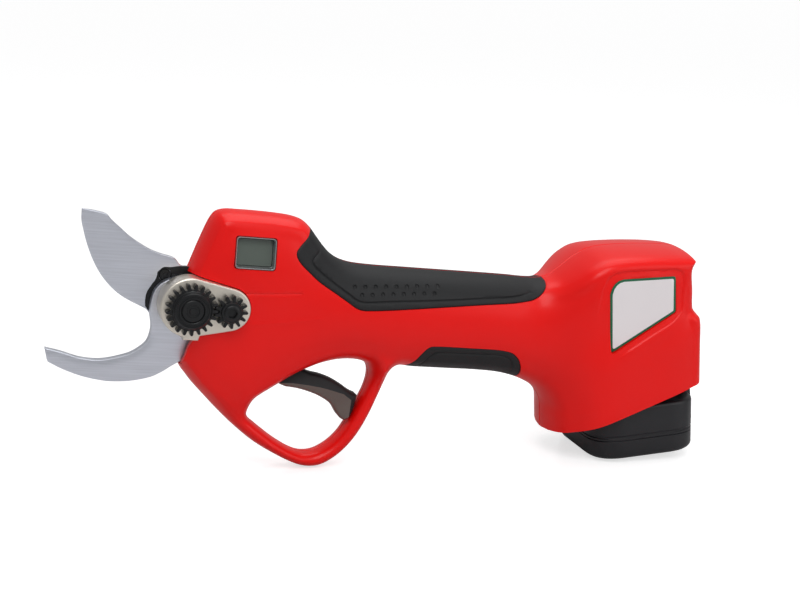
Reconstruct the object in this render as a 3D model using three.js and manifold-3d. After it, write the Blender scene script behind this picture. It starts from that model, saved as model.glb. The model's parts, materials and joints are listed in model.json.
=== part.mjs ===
// Battery electric pruner: hooked fixed jaw, geared moving blade, two-shell body and a slide-in battery pack.
// Millimetres. Outlines are drawn from the blade pivot, on the parting plane of the shells, and the finished
// bodies are then moved so that the origin is the middle of the whole tool's bounding box.
// +X runs back along the motor line, +Z is up, and -Y is the tool's left side, where the adjusting gears are.

import * as THREE from 'three';
import { mergeVertices } from 'three/addons/utils/BufferGeometryUtils.js';
import { ConvexGeometry } from 'three/addons/geometries/ConvexGeometry.js';
import Module from 'manifold-3d';

const wasm = await Module();
wasm.setup();

// ---------------------------------------------------------------- driving dimensions
const boxMiddle = [97, -16.6];    // x, z of the bounding box's middle, seen from the blade pivot
const wall = 2.5;                 // shell wall
const seam = 0.15;                // half the gap between the two shells
const rubberDepth = 1.3;          // thickness of the soft grips
const gap = 0.3;                  // clearance round inlaid pieces

const boltRadius = 5;
const runningHole = 5.06;         // hole that turns on, or holds, the pivot bolt
const bushRadius = 7;
const bladeClosing = 57;          // degrees from fully open to closed

const gearModule = 1;
const addendum = 0.9;             // tooth tip outside and root inside the pitch circle, in modules
const dedendum = 1.3;
const nutTeeth = 21;
const lockTeeth = 13;
const lockX = 17.1;               // centre distance of the two adjusting gears
const faceTeeth = 48;             // teeth of the blade gear on a full circle
const pinionTeeth = 11;

const jawY = [-6.4, -2];          // fixed jaw, left and right face
const bladeY = [-1.9, 1.6];       // moving blade
const plateY = [-17.2, -6.6];     // head plate

const gripHalf = 18;              // half widths of the body
const headHalf = 15.5;
const housingHalf = 27;
const sleeveHalf = 29.8;

const bayTilt = THREE.MathUtils.degToRad(9);   // battery axis leans back from vertical
const packCentre = 212;           // pack axis, measured across the bay
const packTop = 4;                // pack's top and bottom, measured down the bay
const packBottom = 92;
const collarTop = 66;
const capTop = 82;
const baseHalf = 27;
const lobeRadius = 10.75;
const lobeOffset = 10.25;
const valley = 18.2;              // distance from the pack's axis to the flat between two lobes

const triggerPivot = [48.5, -29];
const triggerHalf = 5.9;
const round = 32;                 // segments of a turning fit

// ---------------------------------------------------------------- materials
function paint(color, roughness, metalness) {
  return new THREE.MeshStandardMaterial({ color, roughness, metalness });
}
const redPlastic = paint(0xd8201c, 0.38, 0);
const softRubber = paint(0x232426, 0.8, 0);
const bladeSteel = paint(0xa9abb0, 0.32, 1);
const blackSteel = paint(0x1b1b1e, 0.42, 0.8);
const castAluminium = paint(0xd8cfc4, 0.45, 0.9);
const brightSteel = paint(0xc4c6c9, 0.25, 1);
const blackPlastic = paint(0x28282d, 0.45, 0);
const greyPlastic = paint(0x6d6a68, 0.35, 0);
const glassPane = paint(0x5a625a, 0.1, 0);
const boardGreen = paint(0x1d5a35, 0.5, 0);
const copperWire = paint(0xb03a20, 0.5, 0);
const labelWhite = paint(0xe1dcdc, 0.4, 0);
const cellBlue = paint(0x2f5fa8, 0.4, 0);
const bronze = paint(0xb08d57, 0.4, 1);

// ---------------------------------------------------------------- solids
function solid(geometry) {
  const bare = geometry.clone();
  bare.deleteAttribute('normal');
  bare.deleteAttribute('uv');
  const welded = mergeVertices(bare, 1e-4);
  const triVerts = new Uint32Array(welded.index.array);
  const vertProperties = new Float32Array(welded.attributes.position.array);
  return new wasm.Manifold(new wasm.Mesh({ numProp: 3, vertProperties, triVerts }));
}

function geometryOf(body) {
  const mesh = body.getMesh();
  const geometry = new THREE.BufferGeometry();
  const positions = new Float32Array(mesh.numVert * 3);
  for (let i = 0; i < mesh.numVert; i++) {
    for (let k = 0; k < 3; k++) positions[3 * i + k] = mesh.vertProperties[mesh.numProp * i + k];
  }
  geometry.setAttribute('position', new THREE.BufferAttribute(positions, 3));
  geometry.setIndex(new THREE.BufferAttribute(new Uint32Array(mesh.triVerts), 1));
  return geometry;
}

function unite(...bodies) {
  return bodies.reduce((sum, body) => sum.add(body));
}

// A block from lowest to highest corner.
function box(low, high) {
  const size = high.map((value, i) => value - low[i]);
  const geometry = new THREE.BoxGeometry(...size);
  geometry.translate(...high.map((value, i) => (value + low[i]) / 2));
  return solid(geometry);
}

// A round bar along Y, from y0 to y1.
function pinY(x, z, radius, y0, y1, segments = 24) {
  const geometry = new THREE.CylinderGeometry(radius, radius, y1 - y0, segments);
  geometry.translate(x, (y0 + y1) / 2, z);
  return solid(geometry);
}

// A round bar along X, from x0 to x1.
function pinX(y, z, radius, x0, x1, segments = 24) {
  const geometry = new THREE.CylinderGeometry(radius, radius, x1 - x0, segments);
  geometry.rotateZ(-Math.PI / 2);
  geometry.translate((x0 + x1) / 2, y, z);
  return solid(geometry);
}

function ringY(x, z, outer, inner, y0, y1, segments = round) {
  return pinY(x, z, outer, y0, y1, segments).subtract(pinY(x, z, inner, y0 - 1, y1 + 1, segments));
}

// A side-view shape (x, z) made into a slab from y0 to y1.
function slab(shape, y0, y1, curveSegments = 6) {
  const geometry = new THREE.ExtrudeGeometry(shape, { depth: y1 - y0, bevelEnabled: false, curveSegments });
  geometry.rotateX(Math.PI / 2);
  geometry.translate(0, y1, 0);
  return solid(geometry);
}

// The part of a convex outline that lies at least `depth` inside each of its edges. The outline runs clockwise.
function shrunk(outline, depth) {
  let kept = outline;
  outline.forEach(([x0, z0], i) => {
    const [x1, z1] = outline[(i + 1) % outline.length];
    const length = Math.hypot(x1 - x0, z1 - z0);
    const inside = ([x, z]) => ((x - x0) * (z1 - z0) - (z - z0) * (x1 - x0)) / length - depth;
    const next = [];
    kept.forEach((point, k) => {
      const after = kept[(k + 1) % kept.length];
      const a = inside(point);
      const b = inside(after);
      if (a >= 0) next.push(point);
      if (a * b < 0) next.push(point.map((value, axis) => value + ((after[axis] - value) * a) / (a - b)));
    });
    kept = next;
  });
  return kept;
}

// A convex side-view outline made into a block of half width `half`, its edges rounded over `deep` by `across`,
// and all of it shrunk by `inset`.
function padded({ outline, half, deep, across }, inset = 0) {
  const steps = 3;
  const points = [];
  for (let step = 0; step <= steps; step++) {
    const angle = (step / steps) * (Math.PI / 2);
    const y = half - deep + (deep - inset) * Math.sin(angle);
    for (const [x, z] of shrunk(outline, inset + across * (1 - Math.cos(angle)))) {
      points.push(new THREE.Vector3(x, y, z), new THREE.Vector3(x, -y, z));
    }
  }
  return solid(new ConvexGeometry(points));
}

// A bar through stations [x, z, in-plane half width, half thickness], each an oval at right angles to the run.
function ovalBar(stations, sides = 10) {
  const positions = [];
  const index = [];
  stations.forEach(([x, z, wide, thick], i) => {
    const [xa, za] = stations[Math.max(i - 1, 0)];
    const [xb, zb] = stations[Math.min(i + 1, stations.length - 1)];
    const length = Math.hypot(xb - xa, zb - za);
    for (let k = 0; k < sides; k++) {
      const angle = (2 * Math.PI * k) / sides;
      const across = wide * Math.cos(angle);
      positions.push(x - (across * (zb - za)) / length, thick * Math.sin(angle), z + (across * (xb - xa)) / length);
    }
  });
  const rings = stations.length;
  for (let i = 0; i < rings - 1; i++) {
    for (let k = 0; k < sides; k++) {
      const a = i * sides + k;
      const b = i * sides + ((k + 1) % sides);
      index.push(a, a + sides, b, b, a + sides, b + sides);
    }
  }
  for (let k = 1; k < sides - 1; k++) {
    const last = (rings - 1) * sides;
    index.push(0, k, k + 1, last, last + k + 1, last + k);
  }
  const geometry = new THREE.BufferGeometry();
  geometry.setAttribute('position', new THREE.Float32BufferAttribute(positions, 3));
  geometry.setIndex(index);
  return solid(geometry);
}

function polygon(points) {
  return new THREE.Shape(points.map(([x, z]) => new THREE.Vector2(x, z)));
}

// An outline of any form made into a slab with its sides moved in by about `margin`.
function trimmedSlab(outline, margin, y0, y1) {
  const full = slab(polygon(outline), y0, y1);
  const corners = [[1, 1], [1, -1], [-1, 1], [-1, -1]];
  const shifts = corners.map(([x, z]) => full.translate([x * margin, 0, z * margin]));
  return shifts.reduce((common, shifted) => common.intersect(shifted));
}

function disc(radius) {
  const shape = new THREE.Shape();
  shape.absarc(0, 0, radius, 0, 2 * Math.PI);
  return shape;
}

function roundedSquare(half, radius) {
  const shape = new THREE.Shape();
  const c = half - radius;
  const quarter = Math.PI / 2;
  shape.absarc(c, c, radius, 0, quarter);
  shape.absarc(-c, c, radius, quarter, 2 * quarter);
  shape.absarc(-c, -c, radius, 2 * quarter, 3 * quarter);
  shape.absarc(c, -c, radius, 3 * quarter, 4 * quarter);
  return shape;
}

// ---------------------------------------------------------------- the battery bay's own frame
// `across` runs back through the bay at right angles to its axis, and `down` runs out of the mouth.
function bayPoint(across, down) {
  const x = across * Math.cos(bayTilt) + down * Math.sin(bayTilt);
  const z = across * Math.sin(bayTilt) - down * Math.cos(bayTilt);
  return [x, z];
}

// Turns a geometry drawn as (across, y, -down) into the tool's frame.
function inBay(geometry) {
  return solid(geometry.rotateY(-bayTilt));
}

// A cross-section of the pack (across - centre, y) made into a bar from `top` to `bottom`.
function packBar(shape, top, bottom, curveSegments = 5) {
  const geometry = new THREE.ExtrudeGeometry(shape, { depth: bottom - top, bevelEnabled: false, curveSegments });
  geometry.translate(packCentre, 0, -bottom);
  return inBay(geometry);
}

function packBox(a0, a1, y0, y1, top, bottom) {
  const geometry = new THREE.BoxGeometry(a1 - a0, y1 - y0, bottom - top);
  geometry.translate(packCentre + (a0 + a1) / 2, (y0 + y1) / 2, -(top + bottom) / 2);
  return inBay(geometry);
}

function clover(shrink = 0) {
  const radius = lobeRadius - shrink;
  const lean = Math.acos((valley - shrink - lobeOffset) / radius);
  const quarter = Math.PI / 2;
  const shape = new THREE.Shape();
  for (let lobe = 0; lobe < 4; lobe++) {
    const middle = quarter * (lobe + 0.5);
    const x = lobeOffset * Math.SQRT2 * Math.cos(middle);
    const y = lobeOffset * Math.SQRT2 * Math.sin(middle);
    shape.absarc(x, y, radius, quarter * lobe - lean, quarter * (lobe + 1) + lean);
  }
  return shape;
}

// ---------------------------------------------------------------- body, side view
const frontWall = 169.5;
const rearWall = 239.2;
const sleeveRear = 242;

// Convex outlines, all running clockwise from the lower front.
const head = {
  half: headHalf, deep: 9, across: 4.5,
  outline: [
    [1.2, -28.5], [0.5, 12.5], [5, 26.5], [9, 36.6], [11, 39.2], [14.5, 40.6], [37, 40.8], [43.5, 39.8],
    [48.5, 37], [54, 31.5], [63, 20], [66, 0], [62, -26], [27, -48.5], [11.5, -41.3], [3, -32.4],
  ],
};
const throat = {
  half: 11.5, deep: 7, across: 5,
  outline: [
    [1.6, -29.5], [4, -18], [36, -18], [34.6, -44.5], [33.2, -50], [30.4, -58], [11.8, -41.6], [3.8, -33.2],
  ],
};
const grip = {
  half: gripHalf, deep: 13, across: 12,
  outline: [[40, -25], [40, 16], [50, 20], [166, 20], [186, 12], [186, -18], [168, -25]],
};
const shoulder = {
  half: 22.5, deep: 14, across: 10,
  outline: [[152, -23], [158, 13], [178, 27], [190, 33], [200, -30], [176, -34], [163, -28.5]],
};
const housing = {
  half: housingHalf, deep: 10, across: 8,
  outline: [
    bayPoint(frontWall, 40), [174, 10], [178, 25], [182, 31.4], [187, 35.2], [192, 37.2], [200, 38.8], [217, 40],
    [229, 39.6], [234.5, 37.8], [236.8, 33.5], bayPoint(rearWall, 27), bayPoint(rearWall, 96), bayPoint(frontWall, 104),
  ],
};
const sleeve = {
  half: sleeveHalf, deep: 12, across: 11,
  outline: [
    bayPoint(frontWall - 2, 100), bayPoint(frontWall - 2, 58), bayPoint(sleeveRear, 22), bayPoint(sleeveRear, 100),
  ],
};
const guardBar = [
  [12, -31, 9, 9], [21, -43, 8.5, 8.5], [30, -52.7, 4.6, 7.6], [36, -57.6, 3.7, 7.2], [44.3, -63.2, 3.6, 7],
  [53, -68, 3.5, 7],
  [61, -70.5, 3.6, 7], [69, -69.4, 3.7, 7], [76.3, -64.8, 4, 7], [81.6, -57.6, 4, 7], [86.4, -48.5, 3.9, 7],
  [90.5, -37.5, 3.9, 7.2], [93, -27, 4.7, 8], [93.5, -14, 10, 11],
];

// Everything beyond the slanted mouth of the bay.
const mouthRear = [249.5, -17.3];
const mouthFront = [176, -52.8];
function mouthCut() {
  const slope = (mouthRear[1] - mouthFront[1]) / (mouthRear[0] - mouthFront[0]);
  const reach = 60;
  const left = [mouthFront[0] - reach, mouthFront[1] - reach * slope];
  const right = [mouthRear[0] + reach, mouthRear[1] + reach * slope];
  return slab(polygon([left, right, [right[0], -150], [left[0], -150]]), -60, 60);
}

// The body with every surface moved inwards by `inset`.
function bodyBlock(inset) {
  return unite(...[head, throat, grip, shoulder, housing, sleeve].map((part) => padded(part, inset)));
}

// ---------------------------------------------------------------- openings in the shells
const bladeRoom = 18.7;           // radius kept clear round the pivot for the blade's hub
const plateOutline = { nut: 13, tail: 9.5, lug: [-2, 4.8, -14.3] };

// The drop-shaped outline shared by the head plate and its pocket.
function teardrop(grow, y0, y1) {
  const nut = plateOutline.nut + grow;
  const tail = plateOutline.tail + grow;
  const lean = Math.acos((nut - tail) / lockX);
  const sides = polygon([
    [nut * Math.cos(lean), nut * Math.sin(lean)],
    [nut * Math.cos(lean), -nut * Math.sin(lean)],
    [lockX + tail * Math.cos(lean), -tail * Math.sin(lean)],
    [lockX + tail * Math.cos(lean), tail * Math.sin(lean)],
  ]);
  const [lugFront, lugRear, lugFoot] = plateOutline.lug;
  return unite(
    pinY(0, 0, nut, y0, y1, 40),
    pinY(lockX, 0, tail, y0, y1, 32),
    slab(sides, y0, y1),
    box([lugFront - grow, y0, lugFoot - grow], [lugRear + grow, y1, -6]),
  );
}

// The head's real front edge, with room for the jaw, the blade and the blade's hub.
function frontOpening() {
  const edge = polygon([[-12, 13.6], [0.4, 13.2], [3.5, 9], [4.6, -12.5], [1.3, -26.6], [-12, -26.6]]);
  return unite(
    slab(edge, -30, 30),
    pinY(0, 0, bladeRoom, -7, 10, 40),
    box([-8, -7, -27.4], [9, 10, 0]),
  );
}

const displayCentre = [26.8, 25.1];
const displaySize = [18.2, 14];
function displayBox(margin, y0, y1) {
  const [x, z] = displayCentre;
  const [width, height] = displaySize.map((size) => size / 2 - margin);
  return box([x - width, y0, z - height], [x + width, y1, z + height]);
}

// The label panel on the side of the housing, `margin` inside its recess.
function labelPanel(margin, y0, y1) {
  const corners = [[196.2, -6.9], [191.9, 20], [193.4, 24], [197.3, 26.3], [222.4, 29.5], [225.2, 13.7]];
  return slab(polygon(shrunk(corners, margin)), y0, y1);
}

// Soft grip outlines, side view: one over the back of the hand grip, one under it.
const topGrip = [
  [50, 60], [52.2, 37], [48.8, 35.3], [45.6, 30], [44.3, 27], [44.6, 24.6], [46.6, 21.8], [56.2, 14.3], [75.1, 3.4],
  [78, 3.1], [113.4, 6.3], [158, 10.5], [164.5, 15], [167, 22], [167, 60],
];
const palmGrip = [
  [102.5, -60], [103.2, -22.2], [107.2, -19.6], [109.9, -15.2], [113, -12.3], [150, -12], [156, -16], [160, -60],
];

// Screws that hold the shells together, from the right: [x, z].
const shellScrews = [[45.5, 30], [12, -33.5], [92, -19.4], [184.5, 25]];
const screwSeat = 8;
function screwPosts(hollow) {
  const radius = hollow ? 1.5 : 3.6;
  return unite(...shellScrews.map(([x, z]) => pinY(x, z, radius, hollow ? -7.5 : -30, 30, 16)));
}
function screwWells() {
  return unite(...shellScrews.map(([x, z]) => pinY(x, z, 3.2, screwSeat, 40, 20)));
}

// Bosses that carry the trigger's pin.
function triggerBosses() {
  const [x, z] = triggerPivot;
  const boss = pinY(x, z, 3.6, triggerHalf + 0.6, 14, 20);
  return unite(boss, boss.mirror([0, 1, 0]));
}

// Two walls that close the hollow in front of the pack.
function podWalls() {
  const floorCut = mouthCut().translate([0, 0, 3]);
  const front = packBox(-60, -27.4, -40, 40, 30, 130);
  const partition = packBox(-29.6, -27.4, -40, 40, 36, 130);
  return unite(floorCut.intersect(front), partition);
}

const triggerSlot = box([43, -6.4, -44], [72, 6.4, -19.5]);
const latchWindow = unite(packBox(24, 34, -5.2, 5.2, 41, 60), packBox(24, 34, -13.2, 13.2, 49.8, 75));

// ---------------------------------------------------------------- the model
const group = new THREE.Group();
function place(name, body, material) {
  const mesh = new THREE.Mesh(geometryOf(body).translate(-boxMiddle[0], 0, -boxMiddle[1]), material);
  mesh.name = name;
  group.add(mesh);
}

function addShells() {
  const left = box([-120, -60, -120], [320, -seam, 120]);
  const right = box([-120, seam, -120], [320, 60, 120]);
  const outer = unite(bodyBlock(0), ovalBar(guardBar)).subtract(mouthCut());
  const walls = outer.subtract(bodyBlock(wall));
  const posts = outer.intersect(unite(screwPosts(false), podWalls(), triggerBosses()));
  const softFloor = bodyBlock(rubberDepth + gap);
  const softOutlines = unite(slab(polygon(topGrip), -40, 40), slab(polygon(palmGrip), -40, 40));
  const softPockets = softOutlines.subtract(softFloor);
  const shell = unite(walls, posts)
    .subtract(frontOpening())
    .subtract(softPockets)
    .subtract(triggerSlot)
    .subtract(latchWindow)
    .subtract(screwPosts(true))
    .subtract(pinY(...triggerPivot, 1.56, -9, 9, 16));
  const recess = 26.4;
  place('left_shell', shell.intersect(left)
    .subtract(teardrop(0.4, -30, -5))
    .subtract(displayBox(0, -30, -9))
    .subtract(labelPanel(0, -40, -recess)), redPlastic);
  place('right_shell', shell.intersect(right)
    .subtract(pinY(0, 0, 9.2, 5, 30, 40))
    .subtract(screwWells())
    .subtract(labelPanel(0, recess, 40)), redPlastic);

  const softSkin = outer.subtract(bodyBlock(rubberDepth));
  const topSkin = softSkin.intersect(trimmedSlab(topGrip, gap, -40, 40));
  const palmSkin = softSkin.intersect(trimmedSlab(palmGrip, gap, -40, 40));
  place('top_grip_left', topSkin.intersect(left), softRubber);
  place('top_grip_right', topSkin.intersect(right), softRubber);
  place('palm_grip_left', palmSkin.intersect(left), softRubber);
  place('palm_grip_right', palmSkin.intersect(right), softRubber);

  place('side_label_left', labelPanel(gap, -26.9, -26.5), labelWhite);
  place('side_label_right', labelPanel(gap, 26.5, 26.9), labelWhite);

  shellScrews.forEach(([x, z], i) => {
    const head = pinY(x, z, 2.9, screwSeat + 0.1, screwSeat + 2.5, 16);
    const shank = pinY(x, z, 1.44, -6.5, screwSeat + 1, 12);
    const driveSlot = box([x - 2, screwSeat + 1.4, z - 0.4], [x + 2, 30, z + 0.4]);
    place(`shell_screw_${i + 1}`, unite(head, shank).subtract(driveSlot), brightSteel);
  });
}

// ---------------------------------------------------------------- cutting head
const jawOutline = [
  [-58.6, -23.5], [-51.7, -24.9], [-42.9, -27.2], [-34.3, -27.5], [-25.8, -25.5], [-21.6, -23.9], [-17.5, -21],
  [-15.4, -18.7], [-14.3, -15.5], [-14, -11.8], [-14.5, -8.7], [-15.3, -4.9], [-14.9, 1.8], [-13.8, 5], [-11.7, 7.6],
  [-8.7, 9.5], [-5, 10.6], [2, 10.6], [8, 8.5], [11.5, 4], [12.4, -4], [13.6, -10], [24, -12], [25, -22], [12, -26.3],
  [0.7, -25.8], [-3.9, -28.9], [-8, -31.8], [-12.2, -34], [-20.8, -36.2], [-29.4, -36.8], [-33.8, -36.5],
  [-42.5, -34.9], [-51.3, -31.9], [-57, -29.2],
];
const bladeOutline = [
  [-47.8, 37.1], [-41.8, 36.7], [-37.1, 36.2], [-35.2, 34.1], [-30.6, 30.1], [-26, 26.5], [-21.4, 23.7], [-16.8, 21.4],
  [-12.3, 19.9], [-7.8, 18.9], [-5.6, 18.1], [-3.1, 15.4], [-0.3, 14.6], [6, 13.2], [12, 8], [14.4, 0], [11.5, -8.8],
  [4.5, -13.7], [-4, -14.4], [-10.5, -11.8], [-14, -8], [-16, -5.2], [-19.1, -3.6], [-23.7, -1.6], [-28.2, 0.8],
  [-31.9, 3.6], [-35.7, 7.4], [-38.6, 11.2], [-41.1, 15.4], [-43.1, 19.6], [-44.8, 23.8], [-46.2, 28.1], [-47.4, 32.3],
];
const backingOutline = [
  [-15.2, -5.6], [-16.9, -3.6], [-17.2, -0.4], [-16.7, 2.9], [-15, 6.2], [-13.4, 9], [-12.9, 12], [-10.6, 14.2],
  [-7.5, 14.4], [-2.6, 15.2], [4, 14.6], [10, 11.2], [13.8, 5.5], [14, -4], [7, -12.4], [-2, -13.4], [-9, -11],
  [-13, -8],
];
const bladeScrews = [[-9.5, 10.8], [6, -8.4]];
const jawScrew = [18, -18];
const frameScrews = [[33.4, 9.8], [33.4, -9.8]];

function addJaw() {
  const jaw = slab(polygon(jawOutline), ...jawY)
    .subtract(pinY(0, 0, runningHole, -10, 10, round))
    .subtract(pinY(...jawScrew, 2.06, -10, 10, 16));
  place('fixed_jaw', jaw, bladeSteel);
  const head = pinY(...jawScrew, 3.4, -1.9, 0.6, 20);
  const shank = pinY(...jawScrew, 2, -11, -1.5, 16);
  place('jaw_screw', unite(head, shank), blackSteel);
}

function addBlade() {
  const [left, right] = bladeY;
  const backingFloor = left + 1.2;
  const bushHole = pinY(0, 0, bushRadius + 0.05, -10, 12, round);
  const screwHoles = (radius) => unite(...bladeScrews.map(([x, z]) => pinY(x, z, radius, -10, 12, 16)));
  const blade = slab(polygon(bladeOutline), left, right)
    .subtract(slab(polygon(backingOutline), left - 1, backingFloor))
    .subtract(bushHole)
    .subtract(screwHoles(1.56));
  place('moving_blade', blade, bladeSteel);

  const backing = trimmedSlab(backingOutline, 0.12, left + 0.1, backingFloor - 0.1);
  place('blade_backing_plate', backing.subtract(bushHole).subtract(screwHoles(2.8)), blackSteel);

  const gearHub = [1.7, 4.8];
  bladeScrews.forEach(([x, z], i) => {
    const screw = unite(pinY(x, z, 2.7, left + 0.15, backingFloor - 0.1, 20), pinY(x, z, 1.5, -1, 4.6, 12));
    place(`blade_screw_${i + 1}`, screw, blackSteel);
  });
  place('blade_bush', ringY(0, 0, bushRadius, runningHole, left + 0.05, gearHub[1]), bronze);
  place('blade_gear', bladeGear(gearHub).subtract(bushHole).subtract(screwHoles(1.56)), blackSteel);
}

// A hub disc that carries a sector of face teeth, which point left towards the drive pinion.
function bladeGear([hubLeft, hubRight]) {
  const rim = [[16, hubLeft], [17.6, hubLeft], [20.4, 6.4], [28, 6.4], [28, 9.2], [18, 9.2], [16, hubRight]];
  const profile = [...rim, rim[0]].map(([r, y]) => new THREE.Vector2(r, y));
  const ring = solid(new THREE.LatheGeometry(profile, 60));
  const pitch = 360 / faceTeeth;
  const last = 3.75 + pitch * Math.ceil(bladeClosing / pitch);
  const sectorStart = THREE.MathUtils.degToRad(-last - 4);
  const sectorEnd = THREE.MathUtils.degToRad(8);
  const sector = new THREE.Shape();
  sector.moveTo(0, 0);
  sector.lineTo(40 * Math.cos(sectorStart), 40 * Math.sin(sectorStart));
  sector.absarc(0, 0, 40, sectorStart, sectorEnd);
  const toothCorners = [[-0.6, 6.5], [-0.38, 5.05], [0.38, 5.05], [0.6, 6.5]];
  const tooth = new THREE.Shape(toothCorners.map(([x, y]) => new THREE.Vector2(x, y)));
  let teeth = ring.intersect(slab(sector, 0, 12));
  for (let angle = -last; angle < 5; angle += pitch) {
    const bar = new THREE.ExtrudeGeometry(tooth, { depth: 4.8, bevelEnabled: false });
    bar.rotateY(Math.PI / 2);
    bar.translate(21.9, 0, 0);
    bar.rotateY(-THREE.MathUtils.degToRad(angle));
    teeth = teeth.add(solid(bar));
  }
  return teeth.add(pinY(0, 0, 17, hubLeft, hubRight, 48));
}

// A toothed outline: `tip` and `root` are radii, the half angles are of one tooth at its tip and its root.
function toothed(count, tip, root, tipHalf, rootHalf) {
  const points = [];
  for (let tooth = 0; tooth < count; tooth++) {
    const centre = (360 / count) * tooth;
    const corners = [[root, -rootHalf], [tip, -tipHalf], [tip, tipHalf], [root, rootHalf]];
    for (const [radius, offset] of corners) {
      const angle = THREE.MathUtils.degToRad(centre + offset);
      points.push([radius * Math.cos(angle), radius * Math.sin(angle)]);
    }
  }
  return polygon(points);
}

function addAdjuster() {
  const nutFace = plateY[0] - 0.2;
  const nutTip = (nutTeeth / 2 + addendum) * gearModule;
  const nutRoot = (nutTeeth / 2 - dedendum) * gearModule;
  const nut = slab(toothed(nutTeeth, nutTip, nutRoot, 2.5, 5.2), nutFace - 4, nutFace)
    .add(pinY(0, 0, 8.3, nutFace - 6.4, nutFace - 3.9, 40))
    .subtract(pinY(0, 0, runningHole, -40, 0, round));
  place('adjusting_nut', nut, blackSteel);
  const lockTip = (lockTeeth / 2 + addendum) * gearModule;
  const lockRoot = (lockTeeth / 2 - dedendum) * gearModule;
  const lock = slab(toothed(lockTeeth, lockTip, lockRoot, 4, 8.6), nutFace - 3.8, nutFace - 0.1)
    .translate([lockX, 0, 0])
    .subtract(pinY(lockX, 0, 2.56, -40, 0, 20));
  place('lock_gear', lock, blackSteel);
  const socket = pinY(lockX, 0, 2.4, nutFace - 8, nutFace - 4, 6);
  const screw = unite(pinY(lockX, 0, 4.2, nutFace - 6, nutFace - 3.9, 28), pinY(lockX, 0, 2.5, nutFace - 4, -11.4, 20));
  place('lock_screw', screw.subtract(socket), blackSteel);

  const bolt = unite(pinY(0, 0, boltRadius, nutFace - 5.8, 13, round), pinY(0, 0, 8.5, 12.7, 17.4, 40));
  place('pivot_bolt', bolt.subtract(pinY(0, 0, 3.6, 15, 30, 6)), blackSteel);
}

function addFrame() {
  const [left, right] = plateY;
  const inner = -12.7;            // inside the shell wall
  const plate = unite(
    teardrop(0, left, -13),
    pinY(0, 0, 12.6, -13.5, right, 40),
    box([9, inner, -24], [25.5, right, -8]),
    box([8, inner, -12], [37, -10.3, 12]),
  )
    .subtract(pinY(0, 0, runningHole, -40, 0, round))
    .subtract(pinY(lockX, 0, 2.56, -40, 0, 20))
    .subtract(pinY(...jawScrew, 2.06, -40, 0, 16))
    .subtract(unite(...frameScrews.map(([x, z]) => pinY(x, z, 1.56, -40, 0, 16))))
    .subtract(unite(...frameScrews.map(([x, z]) => pinY(x, z, 2.1, -40, inner + 1.4, 16))));
  place('head_plate', plate, castAluminium);
  frameScrews.forEach(([x, z], i) => {
    const head = pinY(x, z, 1.9, inner + 0.05, inner + 1.3, 16);
    const shank = pinY(x, z, 1.5, -12, -4.2, 16);
    place(`frame_screw_${i + 1}`, unite(head, shank), blackSteel);
  });

  const web = polygon([[7.4, 15], [7.4, -15], [37, -12], [37, 12]]);
  const frame = unite(
    slab(web, 9.9, 12.4),
    pinY(0, 0, 8.9, 9.8, 12.4, 40),
    pinY(0, 0, 10, 5.1, 9.9, 32),
    box([30, -10, -12], [37, 12.4, 12]),
  )
    .subtract(pinY(0, 0, runningHole, 0, 40, round))
    .subtract(pinX(0, 0, 8.05, 20, 50, 32))
    .subtract(unite(...frameScrews.map(([x, z]) => pinY(x, z, 1.56, -20, -4, 16))));
  place('gearbox_frame', frame, castAluminium);
}

// ---------------------------------------------------------------- drive
function addDrive() {
  const teeth = toothed(pinionTeeth, 5.95, 4.1, 4, 8.5);
  const blank = new THREE.ExtrudeGeometry(teeth, { depth: 4.6, bevelEnabled: false });
  blank.rotateZ(Math.PI / 2);
  blank.rotateY(Math.PI / 2);
  blank.translate(21.8, 0, 0);
  place('drive_pinion', solid(blank).add(pinX(0, 0, 3, 26, 45, 24)), blackSteel);
  const bearing = pinX(0, 0, 7.95, 30.3, 36.8, 32).subtract(pinX(0, 0, 3.06, 20, 50, 24));
  place('pinion_bearing', bearing, brightSteel);
  const gearbox = unite(pinX(0, 0, 10.5, 37.3, 41, 28), pinX(0, 0, 12.2, 40.5, 66, 36))
    .subtract(pinX(0, 0, 3.3, 30, 46, 24));
  place('planetary_gearbox', gearbox, brightSteel);
  const motor = unite(
    pinX(0, 0, 14.2, 66.3, 116, 40),
    pinX(0, 0, 5, 115, 118.5, 20),
    box([115, -10, -1.5], [121, -8.8, 1.5]),
    box([115, 8.8, -1.5], [121, 10, 1.5]),
  );
  place('drive_motor', motor, brightSteel);
}


// ---------------------------------------------------------------- trigger
const triggerOutline = [
  [60.1, -29.9], [65.9, -31.1], [70.9, -32.8], [76, -35.4], [81.1, -38.5], [83.6, -39.4], [82.8, -44.2], [81, -49],
  [78.9, -51.3], [76.9, -50.6], [75.2, -48.8], [72.4, -45], [69.7, -42.8], [64.6, -40.1], [59.7, -38.4], [54.9, -37.2],
  [49.2, -36.5], [45.4, -34.6], [44.2, -30], [46, -26], [50, -25], [54, -27.2],
];

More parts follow.
